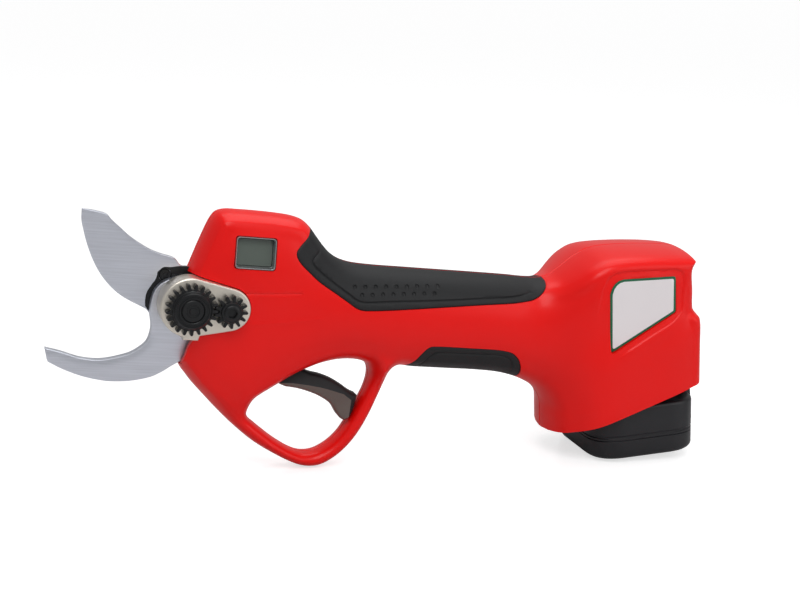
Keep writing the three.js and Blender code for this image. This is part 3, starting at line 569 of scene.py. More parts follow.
def finish(name, colour, roughness, metallic=0.0, spread=0.06, grain=900.0, bump=0.03, wear=0.25,
           lighter=1.5, brushed=None, coat=0.0, shine=0.5):
    """A surface: mottled colour, uneven roughness, fine bump, lighter worn edges, brushed lines if asked."""
    material = bpy.data.materials.new(name)
    material.use_nodes = True
    nodes, links = material.node_tree.nodes, material.node_tree.links
    shader = nodes["Principled BSDF"]
    where = nodes.new("ShaderNodeTexCoord")
    broad = nodes.new("ShaderNodeTexNoise")
    broad.inputs["Scale"].default_value = 45
    broad.inputs["Detail"].default_value = 4
    links.new(where.outputs["Object"], broad.inputs["Vector"])
    fine = nodes.new("ShaderNodeTexNoise")
    fine.inputs["Scale"].default_value = grain
    fine.inputs["Detail"].default_value = 3
    if brushed:
        stretch = nodes.new("ShaderNodeMapping")
        stretch.inputs["Rotation"].default_value = (0, brushed[1], 0)
        stretch.inputs["Scale"].default_value = brushed[0]
        links.new(where.outputs["Object"], stretch.inputs["Vector"])
        links.new(stretch.outputs["Vector"], fine.inputs["Vector"])
    else:
        links.new(where.outputs["Object"], fine.inputs["Vector"])
    mottle = nodes.new("ShaderNodeMix")
    mottle.data_type = "RGBA"
    mottle.inputs["A"].default_value = tint(colour, 1 - spread)
    mottle.inputs["B"].default_value = tint(colour, 1 + spread)
    links.new((fine if brushed else broad).outputs["Fac"], mottle.inputs["Factor"])
    bevel = nodes.new("ShaderNodeBevel")
    bevel.samples = 4
    bevel.inputs["Radius"].default_value = 0.0005
    geometry = nodes.new("ShaderNodeNewGeometry")
    facing = nodes.new("ShaderNodeVectorMath")
    facing.operation = "DOT_PRODUCT"
    links.new(bevel.outputs["Normal"], facing.inputs[0])
    links.new(geometry.outputs["Normal"], facing.inputs[1])
    edge = nodes.new("ShaderNodeMapRange")
    edge.inputs["From Min"].default_value = 0.995
    edge.inputs["From Max"].default_value = 0.86
    edge.inputs["To Min"].default_value = 0.0
    edge.inputs["To Max"].default_value = wear
    links.new(facing.outputs["Value"], edge.inputs["Value"])
    worn = nodes.new("ShaderNodeMix")
    worn.data_type = "RGBA"
    worn.inputs["B"].default_value = tint(colour, lighter)
    links.new(mottle.outputs["Result"], worn.inputs["A"])
    links.new(edge.outputs["Result"], worn.inputs["Factor"])
    links.new(worn.outputs["Result"], shader.inputs["Base Color"])
    rough = nodes.new("ShaderNodeMapRange")
    rough.inputs["To Min"].default_value = max(0.03, roughness - 0.07)
    rough.inputs["To Max"].default_value = min(1.0, roughness + 0.07)
    links.new(fine.outputs["Fac"], rough.inputs["Value"])
    links.new(rough.outputs["Result"], shader.inputs["Roughness"])
    relief_node = nodes.new("ShaderNodeBump")
    relief_node.inputs["Strength"].default_value = bump
    relief_node.inputs["Distance"].default_value = 0.0002
    links.new(fine.outputs["Fac"], relief_node.inputs["Height"])
    links.new(relief_node.outputs["Normal"], shader.inputs["Normal"])
    shader.inputs["Metallic"].default_value = metallic
    shader.inputs["Specular IOR Level"].default_value = shine
    shader.inputs["Coat Weight"].default_value = coat
    shader.inputs["Coat Roughness"].default_value = 0.12
    if brushed:
        shader.inputs["Anisotropic"].default_value = 0.55
    return material


LENGTHWISE = ((60, 200, 1500), 0.0)
RED = finish("red_housing", rgb(238, 12, 8), 0.34, spread=0.03, grain=2600, bump=0.035, wear=0.12,
             lighter=1.15, coat=0.08, shine=0.25)
RUBBER = finish("soft_grip", rgb(25, 26, 28), 0.56, spread=0.10, grain=2400, bump=0.10, lighter=1.7,
                shine=0.35)
BLADE = finish("blade_steel", rgb(220, 223, 233), 0.34, 1.0, 0.15, 1.0, 0.12, 0.4, 1.15,
               ((45, 200, 1500), -0.12))
PLATE = finish("cast_head", rgb(226, 219, 207), 0.38, 1.0, 0.03, 1500, 0.04, 0.5, 1.15)
BLACK_STEEL = finish("black_steel", rgb(20, 21, 23), 0.36, 0.3, 0.12, 1800, 0.05, 0.35, 2.2)
DRIVE_STEEL = finish("drive_steel", rgb(165, 165, 168), 0.32, 1.0, 0.05, 1.0, 0.06, 0.4, 1.2, LENGTHWISE)
BRONZE = finish("bronze_bush", rgb(176, 128, 70), 0.38, 1.0, 0.06, 1500, 0.05)
PACK_BLACK = finish("battery_black", rgb(24, 24, 28), 0.36, spread=0.08, grain=2400, bump=0.08, lighter=1.8,
                    shine=0.4)
# painted reflection: a light brownish grey standing in for the bright surroundings mirrored in the trigger's
# glossy finger face
TRIGGER_PAINTED_REFLECTION = finish("trigger_grey", rgb(96, 84, 78), 0.20, spread=0.06, grain=1900, bump=0.02, coat=0.4)
SILVER = finish("bezel_silver", rgb(176, 178, 180), 0.20, 0.9, 0.03, 1500, 0.008, 0.3, 1.15)
GLASS = finish("display_glass", rgb(84, 93, 86), 0.12, spread=0.04, grain=600, bump=0.01, coat=0.5)
PANEL = finish("display_panel", rgb(46, 50, 46), 0.4, spread=0.05)
LABEL = finish("label_film", rgb(232, 226, 228), 0.38, spread=0.015, grain=1600, bump=0.02, coat=0.3)
GREEN_INK = finish("label_border", rgb(0, 96, 62), 0.4, spread=0.05, grain=1600, bump=0.02)
BOARD = finish("circuit_board", rgb(20, 84, 52), 0.42, spread=0.10, grain=1500, bump=0.05)
CELL = finish("cell_can", rgb(60, 96, 170), 0.36, spread=0.05, grain=1500, bump=0.03)
CONTACT = finish("contact_metal", rgb(218, 208, 198), 0.24, 1.0, 0.04, 1.0, 0.05, 0.4, 1.1, LENGTHWISE)
WIRE = finish("wire_jacket", rgb(176, 40, 34), 0.42, spread=0.08, grain=1500, bump=0.04)
SCREW_STEEL = finish("screw_steel", rgb(150, 150, 154), 0.30, 1.0, 0.06, 1500, 0.05, 0.5, 1.3)


# ---------------------------------------------------------------- shells and rubbers
TOP_RUBBER = np.concatenate([straight([(172.5, 46), (54.6, 46)], 1.2, False), spline([
    (53.2, 37.4), (51.6, 35.6), (49.0, 32.2), (46.4, 29.2), (45.0, 26.8), (45.2, 24.8), (46.9, 22.2),
    (51.3, 18.3), (56.2, 14.4), (61.2, 11.4), (66.1, 8.6), (71.1, 5.6), (74.2, 3.8), (77, 3.1), (82, 3.2),
    (94.7, 4.3), (113.4, 6.3), (135, 8.6), (152, 10.4), (160, 12.4), (164.5, 16), (167.5, 21), (169.5, 27)],
    0.9, False)])
TOP_GROOVE = spline([(58.8, 29.2), (56.6, 27.6), (54.7, 25.8), (53.1, 23.6), (52.9, 22.3), (54, 20.9),
                     (60.7, 15.8), (70.6, 9.6), (74, 7.5), (77.4, 6.7), (90, 7.6), (113, 9.3), (135, 11.4),
                     (151, 13.2), (158, 15.2)],
                    0.8, False)
PALM_RUBBER = np.concatenate([spline([
    (102.6, -25), (104.4, -22.4), (106.4, -19.0), (108.4, -15.6), (109.8, -13.4), (111.4, -12.0),
    (114.6, -11.6), (130, -11.6), (147, -12.0),
    (152.5, -13.4), (156.4, -17), (158.6, -22), (159.6, -28)], 0.9, False),
    straight([(160, -33), (100, -33), (101.3, -27)], 1.2, False)])
PALM_GROOVE = spline([(107.2, -23.6), (110, -20.8), (112.3, -17.4), (114.6, -15.3), (118, -14.8),
                      (130, -14.7), (147, -14.8), (151, -16), (153.6, -19), (154.6, -23)], 0.8, False)
LABEL_CORNERS = [(195.5, -8.9), (190.9, 19.4), (191.4, 22.3), (192.6, 24.6), (194.4, 26.3), (196.8, 27.2),
                 (223.2, 30.4), (226, 13.2)]
LABEL_LINE = rounded(LABEL_CORNERS, 1.5)
PANEL_EDGE = spline([
    (186.4, 6), (186.2, 15), (187.2, 22.5), (190, 27.8), (195, 30.5), (204, 31.8), (216, 33.0),
    (224.2, 33.6), (227.8, 31), (228.6, 22), (228.8, 14), (225.2, 8.8), (214, 0.8), (203, -7.2),
    (197.5, -11.6)], 1.0, False)
WINDOW_LINE = rounded([(17.6, 32.2), (36, 32.2), (36, 18), (17.6, 18)], 1.5, 0.5)
PLATE_NUT, PLATE_TAIL = 13.0, 9.5
RUBBER_DEPTH = 1.15
STEP_WIDTH = 0.08               # how steep a recess wall is, in side view
LABEL_FLOOR = 26.3
SHELL_SCREWS = [(45.5, 30), (12, -33.5), (92, -19.4), (184.5, 25)]
DIMPLE_PITCH = 4.9
DIMPLE_RADIUS = 0.95
DIMPLE_RINGS = [(0.45, 6), (0.8, 10), (0.97, 14), (1.06, 14)]      # (share of the radius, mesh points)
UPPER_CREASE = straight([(22.5, 7.1), (36, 7.9), (49, 8.7)], 0.9, False)
LOWER_CREASE = straight([(27, -6.4), (42, -4.4), (58, -2)], 0.9, False)


def teardrop(grow):
    """The adjuster plate's outline: a big round, a small round, and tangents between them."""
    nut, tail = PLATE_NUT + grow, PLATE_TAIL + grow
    lean = math.degrees(math.acos((nut - tail) / LOCK_X))
    front = circle(0, 0, nut, 60, lean, 360 - lean)
    rear = circle(LOCK_X, 0, tail, 36, -lean, lean)
    loop = np.concatenate([front, rear])
    return straight(loop, 0.9)


def shell_height(points, d, side):
    """The shell's outer half thickness with its recesses."""
    h = np.maximum(relief(points, d), RIM_HALF)
    soft = inside(points, offset(TOP_RUBBER, STEP_WIDTH / 2))
    soft |= inside(points, offset(PALM_RUBBER, STEP_WIDTH / 2))
    h = np.where(soft, np.maximum(h - RUBBER_DEPTH, SEAM), h)
    h = h - 0.30 * np.clip(1 - distance_to(points, UPPER_CREASE, False) / 0.55, 0, 1)
    h = h + 0.22 * np.clip(1 - distance_to(points, LOWER_CREASE, False) / 1.3, 0, 1)
    away = distance_to(points, PANEL_EDGE, False)
    reach = np.where(inside(points, PANEL_EDGE), 0.9, 6.0)
    taper = smoothstep((d - 3) / 5)
    for end in (PANEL_EDGE[0], PANEL_EDGE[-1]):
        taper = taper * smoothstep(np.hypot(points[:, 0] - end[0], points[:, 1] - end[1]) / 12)
    h = h + 0.6 * taper * smoothstep(1 - away / reach)
    framed = inside(points, offset(LABEL_LINE, STEP_WIDTH / 2))
    h = np.where(framed, np.minimum(h, LABEL_FLOOR), h)
    if side > 0:
        for x, z in SHELL_SCREWS:
            well = np.hypot(points[:, 0] - x, points[:, 1] - z) < SCREW_WELL - STEP_WIDTH / 2
            h = np.where(well, np.minimum(h, 8.0), h)
    return np.maximum(h, SEAM)


def seam_face(d):
    """How far the seam face stands off the parting plane: it falls away at the rim and leaves a groove."""
    return SEAM + (RIM_HALF - 0.06 - SEAM) * np.clip(1 - d / GROOVE_DEPTH, 0, 1)


def wall_inside(points, d):
    """Half thickness of the hollow inside the shell."""
    h = relief(points, d)
    low = np.where(d > WALL + 0.15, np.maximum(h - WALL - 0.3, SEAM), seam_face(d))
    for x, z in SHELL_SCREWS:
        low = np.where(np.hypot(points[:, 0] - x, points[:, 1] - z) < SCREW_POST, SEAM, low)
    return low


def add_shell(side):
    label = "left" if side < 0 else "right"
    lines = [(BODY_LINE, True), (HOLE_LINE, True), (FRONT_NOTCH, True), (MOUTH_LINE, False)]
    for loop in (TOP_RUBBER, PALM_RUBBER, LABEL_LINE):
        lines += [(loop, True), (offset(loop, STEP_WIDTH), True)]
    lines += [(UPPER_CREASE, False), (LOWER_CREASE, False), (PANEL_EDGE, False)]
    plate_hole = teardrop(0.35)
    lines.append((plate_hole, True) if side < 0 else (circle(0, 0, BODY_HOLE, 56), True))
    if side < 0:
        lines.append((WINDOW_LINE, True))
    else:
        for x, z in SHELL_SCREWS:
            lines += [(circle(x, z, SCREW_WELL - inset, 24), True) for inset in (0, STEP_WIDTH)]
    rings = [0.03, 0.14, 0.38, 0.7, 1.1, 1.7, 2.55, 2.95, 3.4, 3.7, 4.0, 4.8]
    extra = [ring_points(line, rings) for line in (BODY_LINE, HOLE_LINE)]
    extra += [offset_open(UPPER_CREASE, shift) for shift in (-0.55, 0.55)]
    extra += [offset_open(LOWER_CREASE, shift) for shift in (-1.3, 1.3)]
    extra += [offset_open(PANEL_EDGE, shift) for shift in (-0.9, -0.45, 0.45, 0.9)]
    fill = hex_points((-4, -104), (248, 44), FILL_STEP)
    fill = fill[in_body(fill)]
    fill = fill[edge_distance(fill) > FILL_START]
    points, tris = triangulate(lines, np.concatenate(extra + [fill]))

    def keep(c):
        kept = in_body(c) & ~inside(c, FRONT_NOTCH)
        kept &= c[:, 1] > MOUTH_FRONT[1] + (c[:, 0] - MOUTH_FRONT[0]) * MOUTH_SLOPE
        if side < 0:
            return kept & ~inside(c, plate_hole) & ~inside(c, WINDOW_LINE)
        return kept & (np.hypot(c[:, 0], c[:, 1]) > BODY_HOLE * math.cos(math.pi / 56))

    top = lambda p: shell_height(p, edge_distance(p), side)
    low = lambda p: wall_inside(p, edge_distance(p))
    bm = slab_solid(points, tris, keep, top, low, side)
    shell = piece(bm, label + "_shell_skin", RED, "body", [label + "_shell"])
    trigger_room = straight([(43, -44), (72, -44), (72, -19.5), (43, -19.5)], 40)
    cut(shell, prism(trigger_room, -6.4, 6.4))
    mouth = straight([(-20, 12.4), (-20, -27.6), (4, -27.6)], 50, False)
    blade_room = np.concatenate([circle(0, 0, 19.4, 40, -80, 40), mouth])
    cut(shell, prism(blade_room, -6.9, 10.3))
    if side > 0:
        turns = np.radians(np.linspace(-72, 72, 37))
        sweep = [(16.5, 6.0), (28.5, 6.0), (28.5, 9.6), (16.5, 9.6)]
        cut(shell, loft([[(r * math.cos(t), y, r * math.sin(t)) for r, y in sweep] for t in turns]))
    cut(shell, pack_block((24, -13.2, -75), (36, 13.2, -49.8)))
    cut(shell, pack_block((24, -5.2, -60), (36, 5.2, -41)))


def rubber_height(points, d, edge, groove, dimples):
    """A rubber's outer half thickness: slightly proud, with a rounded rim, a groove and dimples."""
    from_rim = distance_to(points, edge)
    h = relief(points, d) + 0.12 - 0.5 * np.clip(1 - from_rim / 0.8, 0, 1) ** 2
    near = distance_to(points, groove, False)
    h = h - 0.55 * np.clip(1 - near / 0.75, 0, 1)
    for x, z in dimples:
        r = np.hypot(points[:, 0] - x, points[:, 1] - z)
        h = h - 0.7 * np.sqrt(np.clip(1 - (r / DIMPLE_RADIUS) ** 2, 0, 1))
    return np.maximum(h, RIM_HALF)


def rubber_inside(points, d):
    return np.maximum(relief(points, d) - RUBBER_DEPTH + 0.1, seam_face(d))


def add_rubber(side, name, edge, groove, dimples):
    label = "left" if side < 0 else "right"
    rim = offset(edge, 0.13)
    if not inside(np.array([edge.mean(0)]), rim).any():
        rim = offset(edge, -0.13)
    lines = [(BODY_LINE, True), (rim, True), (offset(rim, 0.3), True), (offset(rim, 0.75), True),
             (groove, False)]
    shifts = [offset_open(groove, s) for s in (-0.75, 0.75)]
    extra = shifts + [ring_points(BODY_LINE, [0.03, 0.14, 0.38, 0.7, 1.1, 1.7, 2.6, 3.7, 4.8])]
    for x, z in dimples:
        extra.append(np.array([(x, z)]))
        extra += [circle(x, z, share * DIMPLE_RADIUS, count) for share, count in DIMPLE_RINGS]
    fill = hex_points(edge.min(0), edge.max(0), FILL_STEP)
    fill = fill[in_body(fill)]
    fill = fill[edge_distance(fill) > FILL_START]
    if len(dimples):
        spots = np.array(dimples)
        gap = np.min(np.hypot(fill[:, None, 0] - spots[None, :, 0], fill[:, None, 1] - spots[None, :, 1]), 1)
        fill = fill[gap > 1.9]
    points, tris = triangulate(lines, np.concatenate(extra + [fill]))
    keep = lambda c: in_body(c) & inside(c, rim)
    top = lambda p: rubber_height(p, edge_distance(p), rim, groove, dimples)
    low = lambda p: rubber_inside(p, edge_distance(p))
    bm = slab_solid(points, tris, keep, top, low, side)
    piece(bm, f"{name}_{label}_skin", RUBBER, "body", [f"{name}_{label}"])


def offset_open(line, distance):
    along = np.gradient(line, axis=0)
    along /= np.linalg.norm(along, axis=1)[:, None]
    return line + np.stack([-along[:, 1], along[:, 0]], 1) * distance


def top_dimples():
    """Two staggered rows of dimples above the groove."""
    lower = [(76.3 + DIMPLE_PITCH * k, 9.9 + 0.35 * k) for k in range(8)]
    upper = [(72.9 + DIMPLE_PITCH * k, 13.1 + 0.3 * k) for k in range(9)]
    return lower + upper


for side in (-1, 1):
    add_shell(side)
    add_rubber(side, "top_grip", TOP_RUBBER, TOP_GROOVE, top_dimples())
    add_rubber(side, "palm_grip", PALM_RUBBER, PALM_GROOVE, [])


# ---------------------------------------------------------------- cutting head
JAW_LINE = [
    (-58.6, -23.5), (-51.7, -24.9), (-42.9, -27.2), (-34.3, -27.5), (-25.8, -25.5), (-21.6, -23.9),
    (-17.5, -21), (-15.4, -18.7), (-14.3, -15.5), (-14, -11.8), (-14.5, -8.7), (-15.3, -4.9), (-14.9, 1.8),
    (-13.8, 5), (-11.7, 7.6), (-8.7, 9.5), (-5, 10.6), (2, 10.6), (8, 8.5), (11.5, 4), (12.4, -4),
    (13.6, -10), (24, -12), (25, -22), (12, -26.3), (0.7, -25.8), (-3.9, -28.9), (-8, -31.8), (-12.2, -34),
    (-20.8, -36.2), (-29.4, -36.8), (-33.8, -36.5), (-42.5, -34.9), (-51.3, -31.9), (-57, -29.2)]
BLADE_LINE = [
    (-47.7, 37.4), (-42.1, 36.6), (-38, 35.9), (-36.2, 35.1), (-34.9, 33.6), (-30.6, 30.1), (-26, 26.5),
    (-21.4, 23.7), (-16.8, 21.4), (-12.3, 19.9), (-7.8, 18.9), (-5.6, 18.1), (-3.1, 15.4), (-0.3, 14.6),
    (6, 13.2), (12, 8), (14.4, 0), (11.5, -8.8), (4.5, -13.7), (-4, -14.4), (-10.5, -11.8), (-14, -8),
    (-16, -5.2), (-19.1, -3.6), (-23.7, -1.6), (-28.2, 0.8), (-31.9, 3.6), (-35.7, 7.4), (-38.6, 11.2),
    (-41.1, 15.4), (-43.1, 19.6), (-44.8, 23.8), (-46.2, 28.1), (-47.4, 32.3)]
BACKING_LINE = [
    (-15.2, -5.6), (-16.9, -3.6), (-17.2, -0.4), (-16.7, 2.9), (-15, 6.2), (-13.4, 9), (-12.9, 12),
    (-10.6, 14.2), (-7.5, 14.4), (-2.6, 15.2), (4, 14.6), (10, 11.2), (13.8, 5.5), (14, -4), (7, -12.4),
    (-2, -13.4), (-9, -11), (-13, -8)]
BLADE_SCREWS = [(-9.5, 10.8), (6, -8.4)]
CHAMFER = 0.22
JAW_BEVEL = 2.4


def cam_loop(points, sharp, step=0.8):
    """A curve through points that keeps the named points sharp."""
    order = sorted(sharp)
    out = []
    for i, start in enumerate(order):
        end = order[(i + 1) % len(order)]
        run = points[start:end + 1] if end > start else points[start:] + points[:end + 1]
        out.append(spline(run, step, False)[:-1])
    return np.concatenate(out)


def steel_plate(name, nodes, loop, left, right, shape, edge_lines, holes, material, body, extra=()):
    """A flat steel part from y=left to y=right; shape(points) gives each face's cut-back as (left, right)."""
    lines = [(loop, True)] + [(circle(x, z, r, 40), True) for x, z, r in holes] + list(edge_lines)
    rings = []
    for depth in (CHAMFER, 1.1):
        ring = offset(loop, depth)
        rings.append(ring[distance_to(ring, loop) > depth * 0.97])
    fill = hex_points(loop.min(0), loop.max(0), 2.2)
    fill = fill[inside(fill, loop)]
    fill = fill[distance_to(fill, loop) > 1.8]
    points, tris = triangulate(lines, np.concatenate(rings + [fill] + list(extra)))

    def keep(c):
        kept = inside(c, loop)
        for x, z, r in holes:
            kept &= np.hypot(c[:, 0] - x, c[:, 1] - z) > r * 0.997
        return kept

    def rim(p):
        return CHAMFER * np.clip(1 - distance_to(p, loop) / CHAMFER, 0, 1)

    near = lambda p: -left - shape(p)[0] - rim(p)
    far = lambda p: -right + shape(p)[1] + rim(p)
    bm = slab_solid(points, tris, keep, near, far, -1)
    piece(bm, name, material, body, nodes, limit=20)


def add_jaw():
    loop = cam_loop(JAW_LINE, [0, 13, 21, 22, 23, 25, 34])
    edge = spline(JAW_LINE[:9], 0.8, False)
    ridge = offset_open(edge, -JAW_BEVEL)
    ridge = ridge[inside(ridge, loop) & (distance_to(ridge, loop) > 1.2)]

    def shape(p):
        cut_back = 0.4 * np.clip(1 - distance_to(p, edge, False) / JAW_BEVEL, 0, 1)
        return cut_back, np.zeros(len(p))

    steel_plate("hooked_jaw", ["fixed_jaw"], loop, -6.4, -2.0, shape, [],
                [(0, 0, BOLT_BORE), (18, -18, 2.1)], BLADE, "body",
                [ridge, offset_open(edge, -JAW_BEVEL / 2)])
    head = lathe([(0, 0.6), (1.2, 0.6), (1.4, 0.2), (2.6, 0.2), (3.2, 0.0), (3.4, -0.4), (3.4, -1.9),
                  (2, -1.9), (2, -11), (0, -11)], 32)
    piece(move(head, (18, 0, -18)), "jaw_fixing_screw", BLACK_STEEL, "body", ["jaw_screw"])


def add_blade():
    loop = cam_loop(BLADE_LINE, [0, 2, 10, 21])
    edge = spline(BLADE_LINE[21:] + BLADE_LINE[:1], 0.8, False)
    backing = cam_loop(BACKING_LINE, [1, 6])
    ridge = offset_open(edge, 5.0)
    ridge = ridge[inside(ridge, loop) & (distance_to(ridge, loop) > 1.2)]
    backs = np.array(BLADE_LINE[3:12], float)

    def shape(p):
        recess = np.where(inside(p, offset(backing, 0.04)), 1.2, 0.0)
        spine = 0.1 * np.clip(1 - distance_to(p, backs, False) / 1.2, 0, 1)
        ground = 2.9 * np.clip(1 - distance_to(p, edge, False) / 5.0, 0, 1)
        return np.maximum(recess, spine), ground

    holes = [(0, 0, BLADE_BORE)] + [(x, z, 1.6) for x, z in BLADE_SCREWS]
    steel_plate("curved_blade", ["moving_blade"], loop, -1.9, 1.6, shape,
                [(backing, True), (offset(backing, 0.08), True)], holes, BLADE, "blade",
                [ridge, offset_open(edge, 2.5)])
    inner = offset(backing, 0.12)
    flat = lambda p: (np.zeros(len(p)), np.zeros(len(p)))
    holes = [(0, 0, BLADE_BORE)] + [(x, z, 2.85) for x, z in BLADE_SCREWS]
    steel_plate("blade_backing", ["blade_backing_plate"], inner, -1.95, -0.8, flat, [], holes, BLACK_STEEL,
                "blade")
    for i, (x, z) in enumerate(BLADE_SCREWS):
        profile = [(0, -1.3), (1.1, -1.3), (1.3, -1.75), (2.4, -1.75), (2.7, -1.45), (2.7, -0.8),
                   (1.5, -0.8), (1.5, 4.6), (0, 4.6)]
        piece(move(lathe(profile, 32), (x, 0, z)), f"blade_fixing_screw_{i + 1}", BLACK_STEEL, "blade",
              [f"blade_screw_{i + 1}"])


FACE_TEETH = 48
FIRST_TOOTH, LAST_TOOTH = 3.75, -63.75   # degrees up from +X


def add_blade_gear():
    """The hub behind the blade, with a sector of face teeth for the drive pinion."""
    hub = lathe([(BLADE_BORE, 1.7), (13.9, 1.7), (14.3, 2.1), (14.3, 4.4), (13.9, 4.8), (BLADE_BORE, 4.8)],
                72)
    gear = piece(hub, "blade_drive_gear", BLACK_STEEL, "blade", ["blade_gear"])
    profile = [(11, 1.75), (17.6, 1.75), (20.4, 6.4), (28, 6.4), (28, 9.2), (18, 9.2), (16, 4.7), (11, 4.7)]
    turns = np.radians(np.linspace(8, -68, 39))
    sector = loft([[(r * math.cos(t), y, r * math.sin(t)) for r, y in profile] for t in turns])
    cut(gear, sector, "UNION")
    pitch = 360 / FACE_TEETH
    for k in range(round((FIRST_TOOTH - LAST_TOOTH) / pitch) + 1):
        turn = Matrix.Rotation(-math.radians(FIRST_TOOTH - pitch * k), 4, "Y")
        tooth = loft([[(r, 6.6, -0.6), (r, 6.6, 0.6), (r, 5.3, 0.42), (r, 5.05, 0.2), (r, 5.05, -0.2),
                       (r, 5.3, -0.42)]
                      for r in (21.9, 26.7)])
        piece(move(tooth, matrix=turn), f"blade_gear_tooth_{k + 1}", BLACK_STEEL, "blade", [])
    for x, z in BLADE_SCREWS:
        cut(gear, rod(PIN_BORE, 0, 12, 24, x, z))


# ---------------------------------------------------------------- adjuster
def toothed(count, root, tip):
    """A gear outline with rounded, finger-like teeth, one of them on +X."""
    turn = np.linspace(0, 2 * math.pi, count * 16, endpoint=False)
    wave = np.tanh(2.7 * (np.cos(count * turn) - 0.15)) / math.tanh(2.7)
    radius = (tip + root) / 2 + (tip - root) / 2 * wave
    return np.stack([radius * np.cos(turn), radius * np.sin(turn)], 1)


def gear_ring(count, root, tip, bore, y0, y1):
    """A gear with a round bore, its teeth rounded over on both faces."""
    def ring(inset, y):
        return [(x, y, z) for x, z in toothed(count, root - inset, tip - inset)]

    samples = count * 16
    inner = circle(0, 0, bore, samples)
    rings = [[(x, y1, z) for x, z in inner], ring(0.4, y1), ring(0.12, y1 - 0.12), ring(0, y1 - 0.45),
             ring(0, y0 + 0.45), ring(0.12, y0 + 0.12), ring(0.4, y0), [(x, y0, z) for x, z in inner]]
    return loft(rings, True)


def hex_prism(radius, y0, y1, x=0.0, z=0.0):
    return prism(circle(x, z, radius, 6), y0, y1)


def add_adjuster():
    piece(gear_ring(21, 9.2, 11.4, 8.0, -21.4, -17.4), "adjusting_nut_rim", BLACK_STEEL, "nut", [])
    hub = lathe([(5.08, -17.45), (8.5, -17.45), (8.5, -21.2), (8.7, -21.45), (8.6, -21.9), (8.1, -22.4),
                 (7.9, -22.4), (7.9, -23.0), (7.5, -23.5), (7.0, -23.6), (6.8, -23.25), (6.2, -23.25),
                 (6.0, -23.6), (5.4, -23.6), (5.08, -23.3)], 64)
    piece(hub, "adjusting_nut_hub", BLACK_STEEL, "nut", ["adjusting_nut"])
    wheel = gear_ring(13, 5.2, 7.4, LOCK_BORE, -21.2, -17.5)
    piece(move(wheel, (LOCK_X, 0, 0)), "lock_wheel", BLACK_STEEL, "lock", ["lock_gear"])
    screw = lathe([(0, -23.4), (3.0, -23.4), (3.4, -23.1), (3.4, -22.3), (4.4, -22.2), (4.6, -21.9),
                   (4.6, -21.3), (2.5, -21.3), (2.5, -11.4), (0, -11.4)], 40)
    screw = piece(move(screw, (LOCK_X, 0, 0)), "lock_wheel_screw", BLACK_STEEL, "lock", ["lock_screw"])
    cut(screw, hex_prism(2.3, -26, -21.9, LOCK_X))
    bolt = lathe([(0, -23.5), (1.5, -23.5), (1.7, -23.2), (2.6, -23.2), (2.8, -23.5), (4.5, -23.5),
                  (BOLT_RADIUS, -23.1), (BOLT_RADIUS, 12.7), (8.5, 12.7), (8.5, 16.8), (7.9, 17.4),
                  (0, 17.4)], 56)
    bolt = piece(bolt, "pivot_bolt_body", BLACK_STEEL, "body", ["pivot_bolt"])
    cut(bolt, hex_prism(3.6, 15, 20))
    loop = teardrop(0)
    lug = [(-2.0, -14.3), (4.8, -14.3)]
    below = (loop[:, 0] >= -2.0) & (loop[:, 0] <= 4.8) & (loop[:, 1] < -8)
    first = int(np.argmax(below))
    loop = np.concatenate([loop[:first], lug, loop[first:][~below[first:]]])
    plate = piece(prism(loop, -17.2, -6.6, 0.8, 3), "adjuster_plate", PLATE, "body", ["head_plate"],
                  limit=50)
    cut(plate, rod(BOLT_BORE, -30, 0, 48))
    cut(plate, rod(LOCK_BORE, -30, 0, 32, LOCK_X))


def add_frame():
    """The casting inside the head: a web behind the blade, and a block that takes the nose of the gearbox."""
    web = straight([(8.6, 8.5), (14, 12.6), (37, 12), (37, -12), (14, -12.6), (8.6, -8.5)], 50)
    frame = piece(prism(web, 9.9, 12.2, 0.3), "gearbox_casting", PLATE, "body", ["gearbox_frame"])
    cut(frame, lathe([(0, 5.1), (10, 5.1), (10, 9.8), (8.9, 9.95), (8.9, 12.2), (8.6, 12.4), (0, 12.4)], 48),
        "UNION")
    cut(frame, block((30, -10, -12), (37, 12.2, 12)), "UNION")
    cut(frame, rod(BOLT_BORE, 0, 20, 48))
    along = Matrix.Translation((20, 0, 0)) @ Matrix.Rotation(math.radians(-90), 4, "Z")
    cut(frame, move(rod(8.05, 0, 30, 40), matrix=along))
    for z in (-9.8, 9.8):
        cut(frame, rod(PIN_BORE, -20, -4, 24, 33.4, z))


# ---------------------------------------------------------------- display and trigger
WINDOW_MIDDLE = (26.8, 25.1)


def window_loop(width, height, radius):
    x, z = WINDOW_MIDDLE
    w, h = width / 2, height / 2
    return rounded([(x - w, z - h), (x + w, z - h), (x + w, z + h), (x - w, z + h)], radius, 0.4)


def resample(loop, count, middle):
    """The loop as count points at equal angles round its middle."""
    angles = np.arctan2(loop[:, 1] - middle[1], loop[:, 0] - middle[0])
    reach = np.hypot(loop[:, 0] - middle[0], loop[:, 1] - middle[1])
    order = np.argsort(angles)
    turn = np.linspace(-math.pi, math.pi, count, endpoint=False)
    r = np.interp(turn, angles[order], reach[order], period=2 * math.pi)
    return np.stack([middle[0] + r * np.cos(turn), middle[1] + r * np.sin(turn)], 1)


def on_side(points, stand):
    """Points of a side view put on the head's sloping side round the display, stand mm proud of it."""
    low, high = WINDOW_MIDDLE[1] - 7, WINDOW_MIDDLE[1] + 7
    corners = np.array([(WINDOW_MIDDLE[0], low), (WINDOW_MIDDLE[0], high)])
    at_low, at_high = relief(corners, edge_distance(corners))
    return [(x, -(at_low + (at_high - at_low) * (z - low) / (high - low)) - stand, z) for x, z in points]


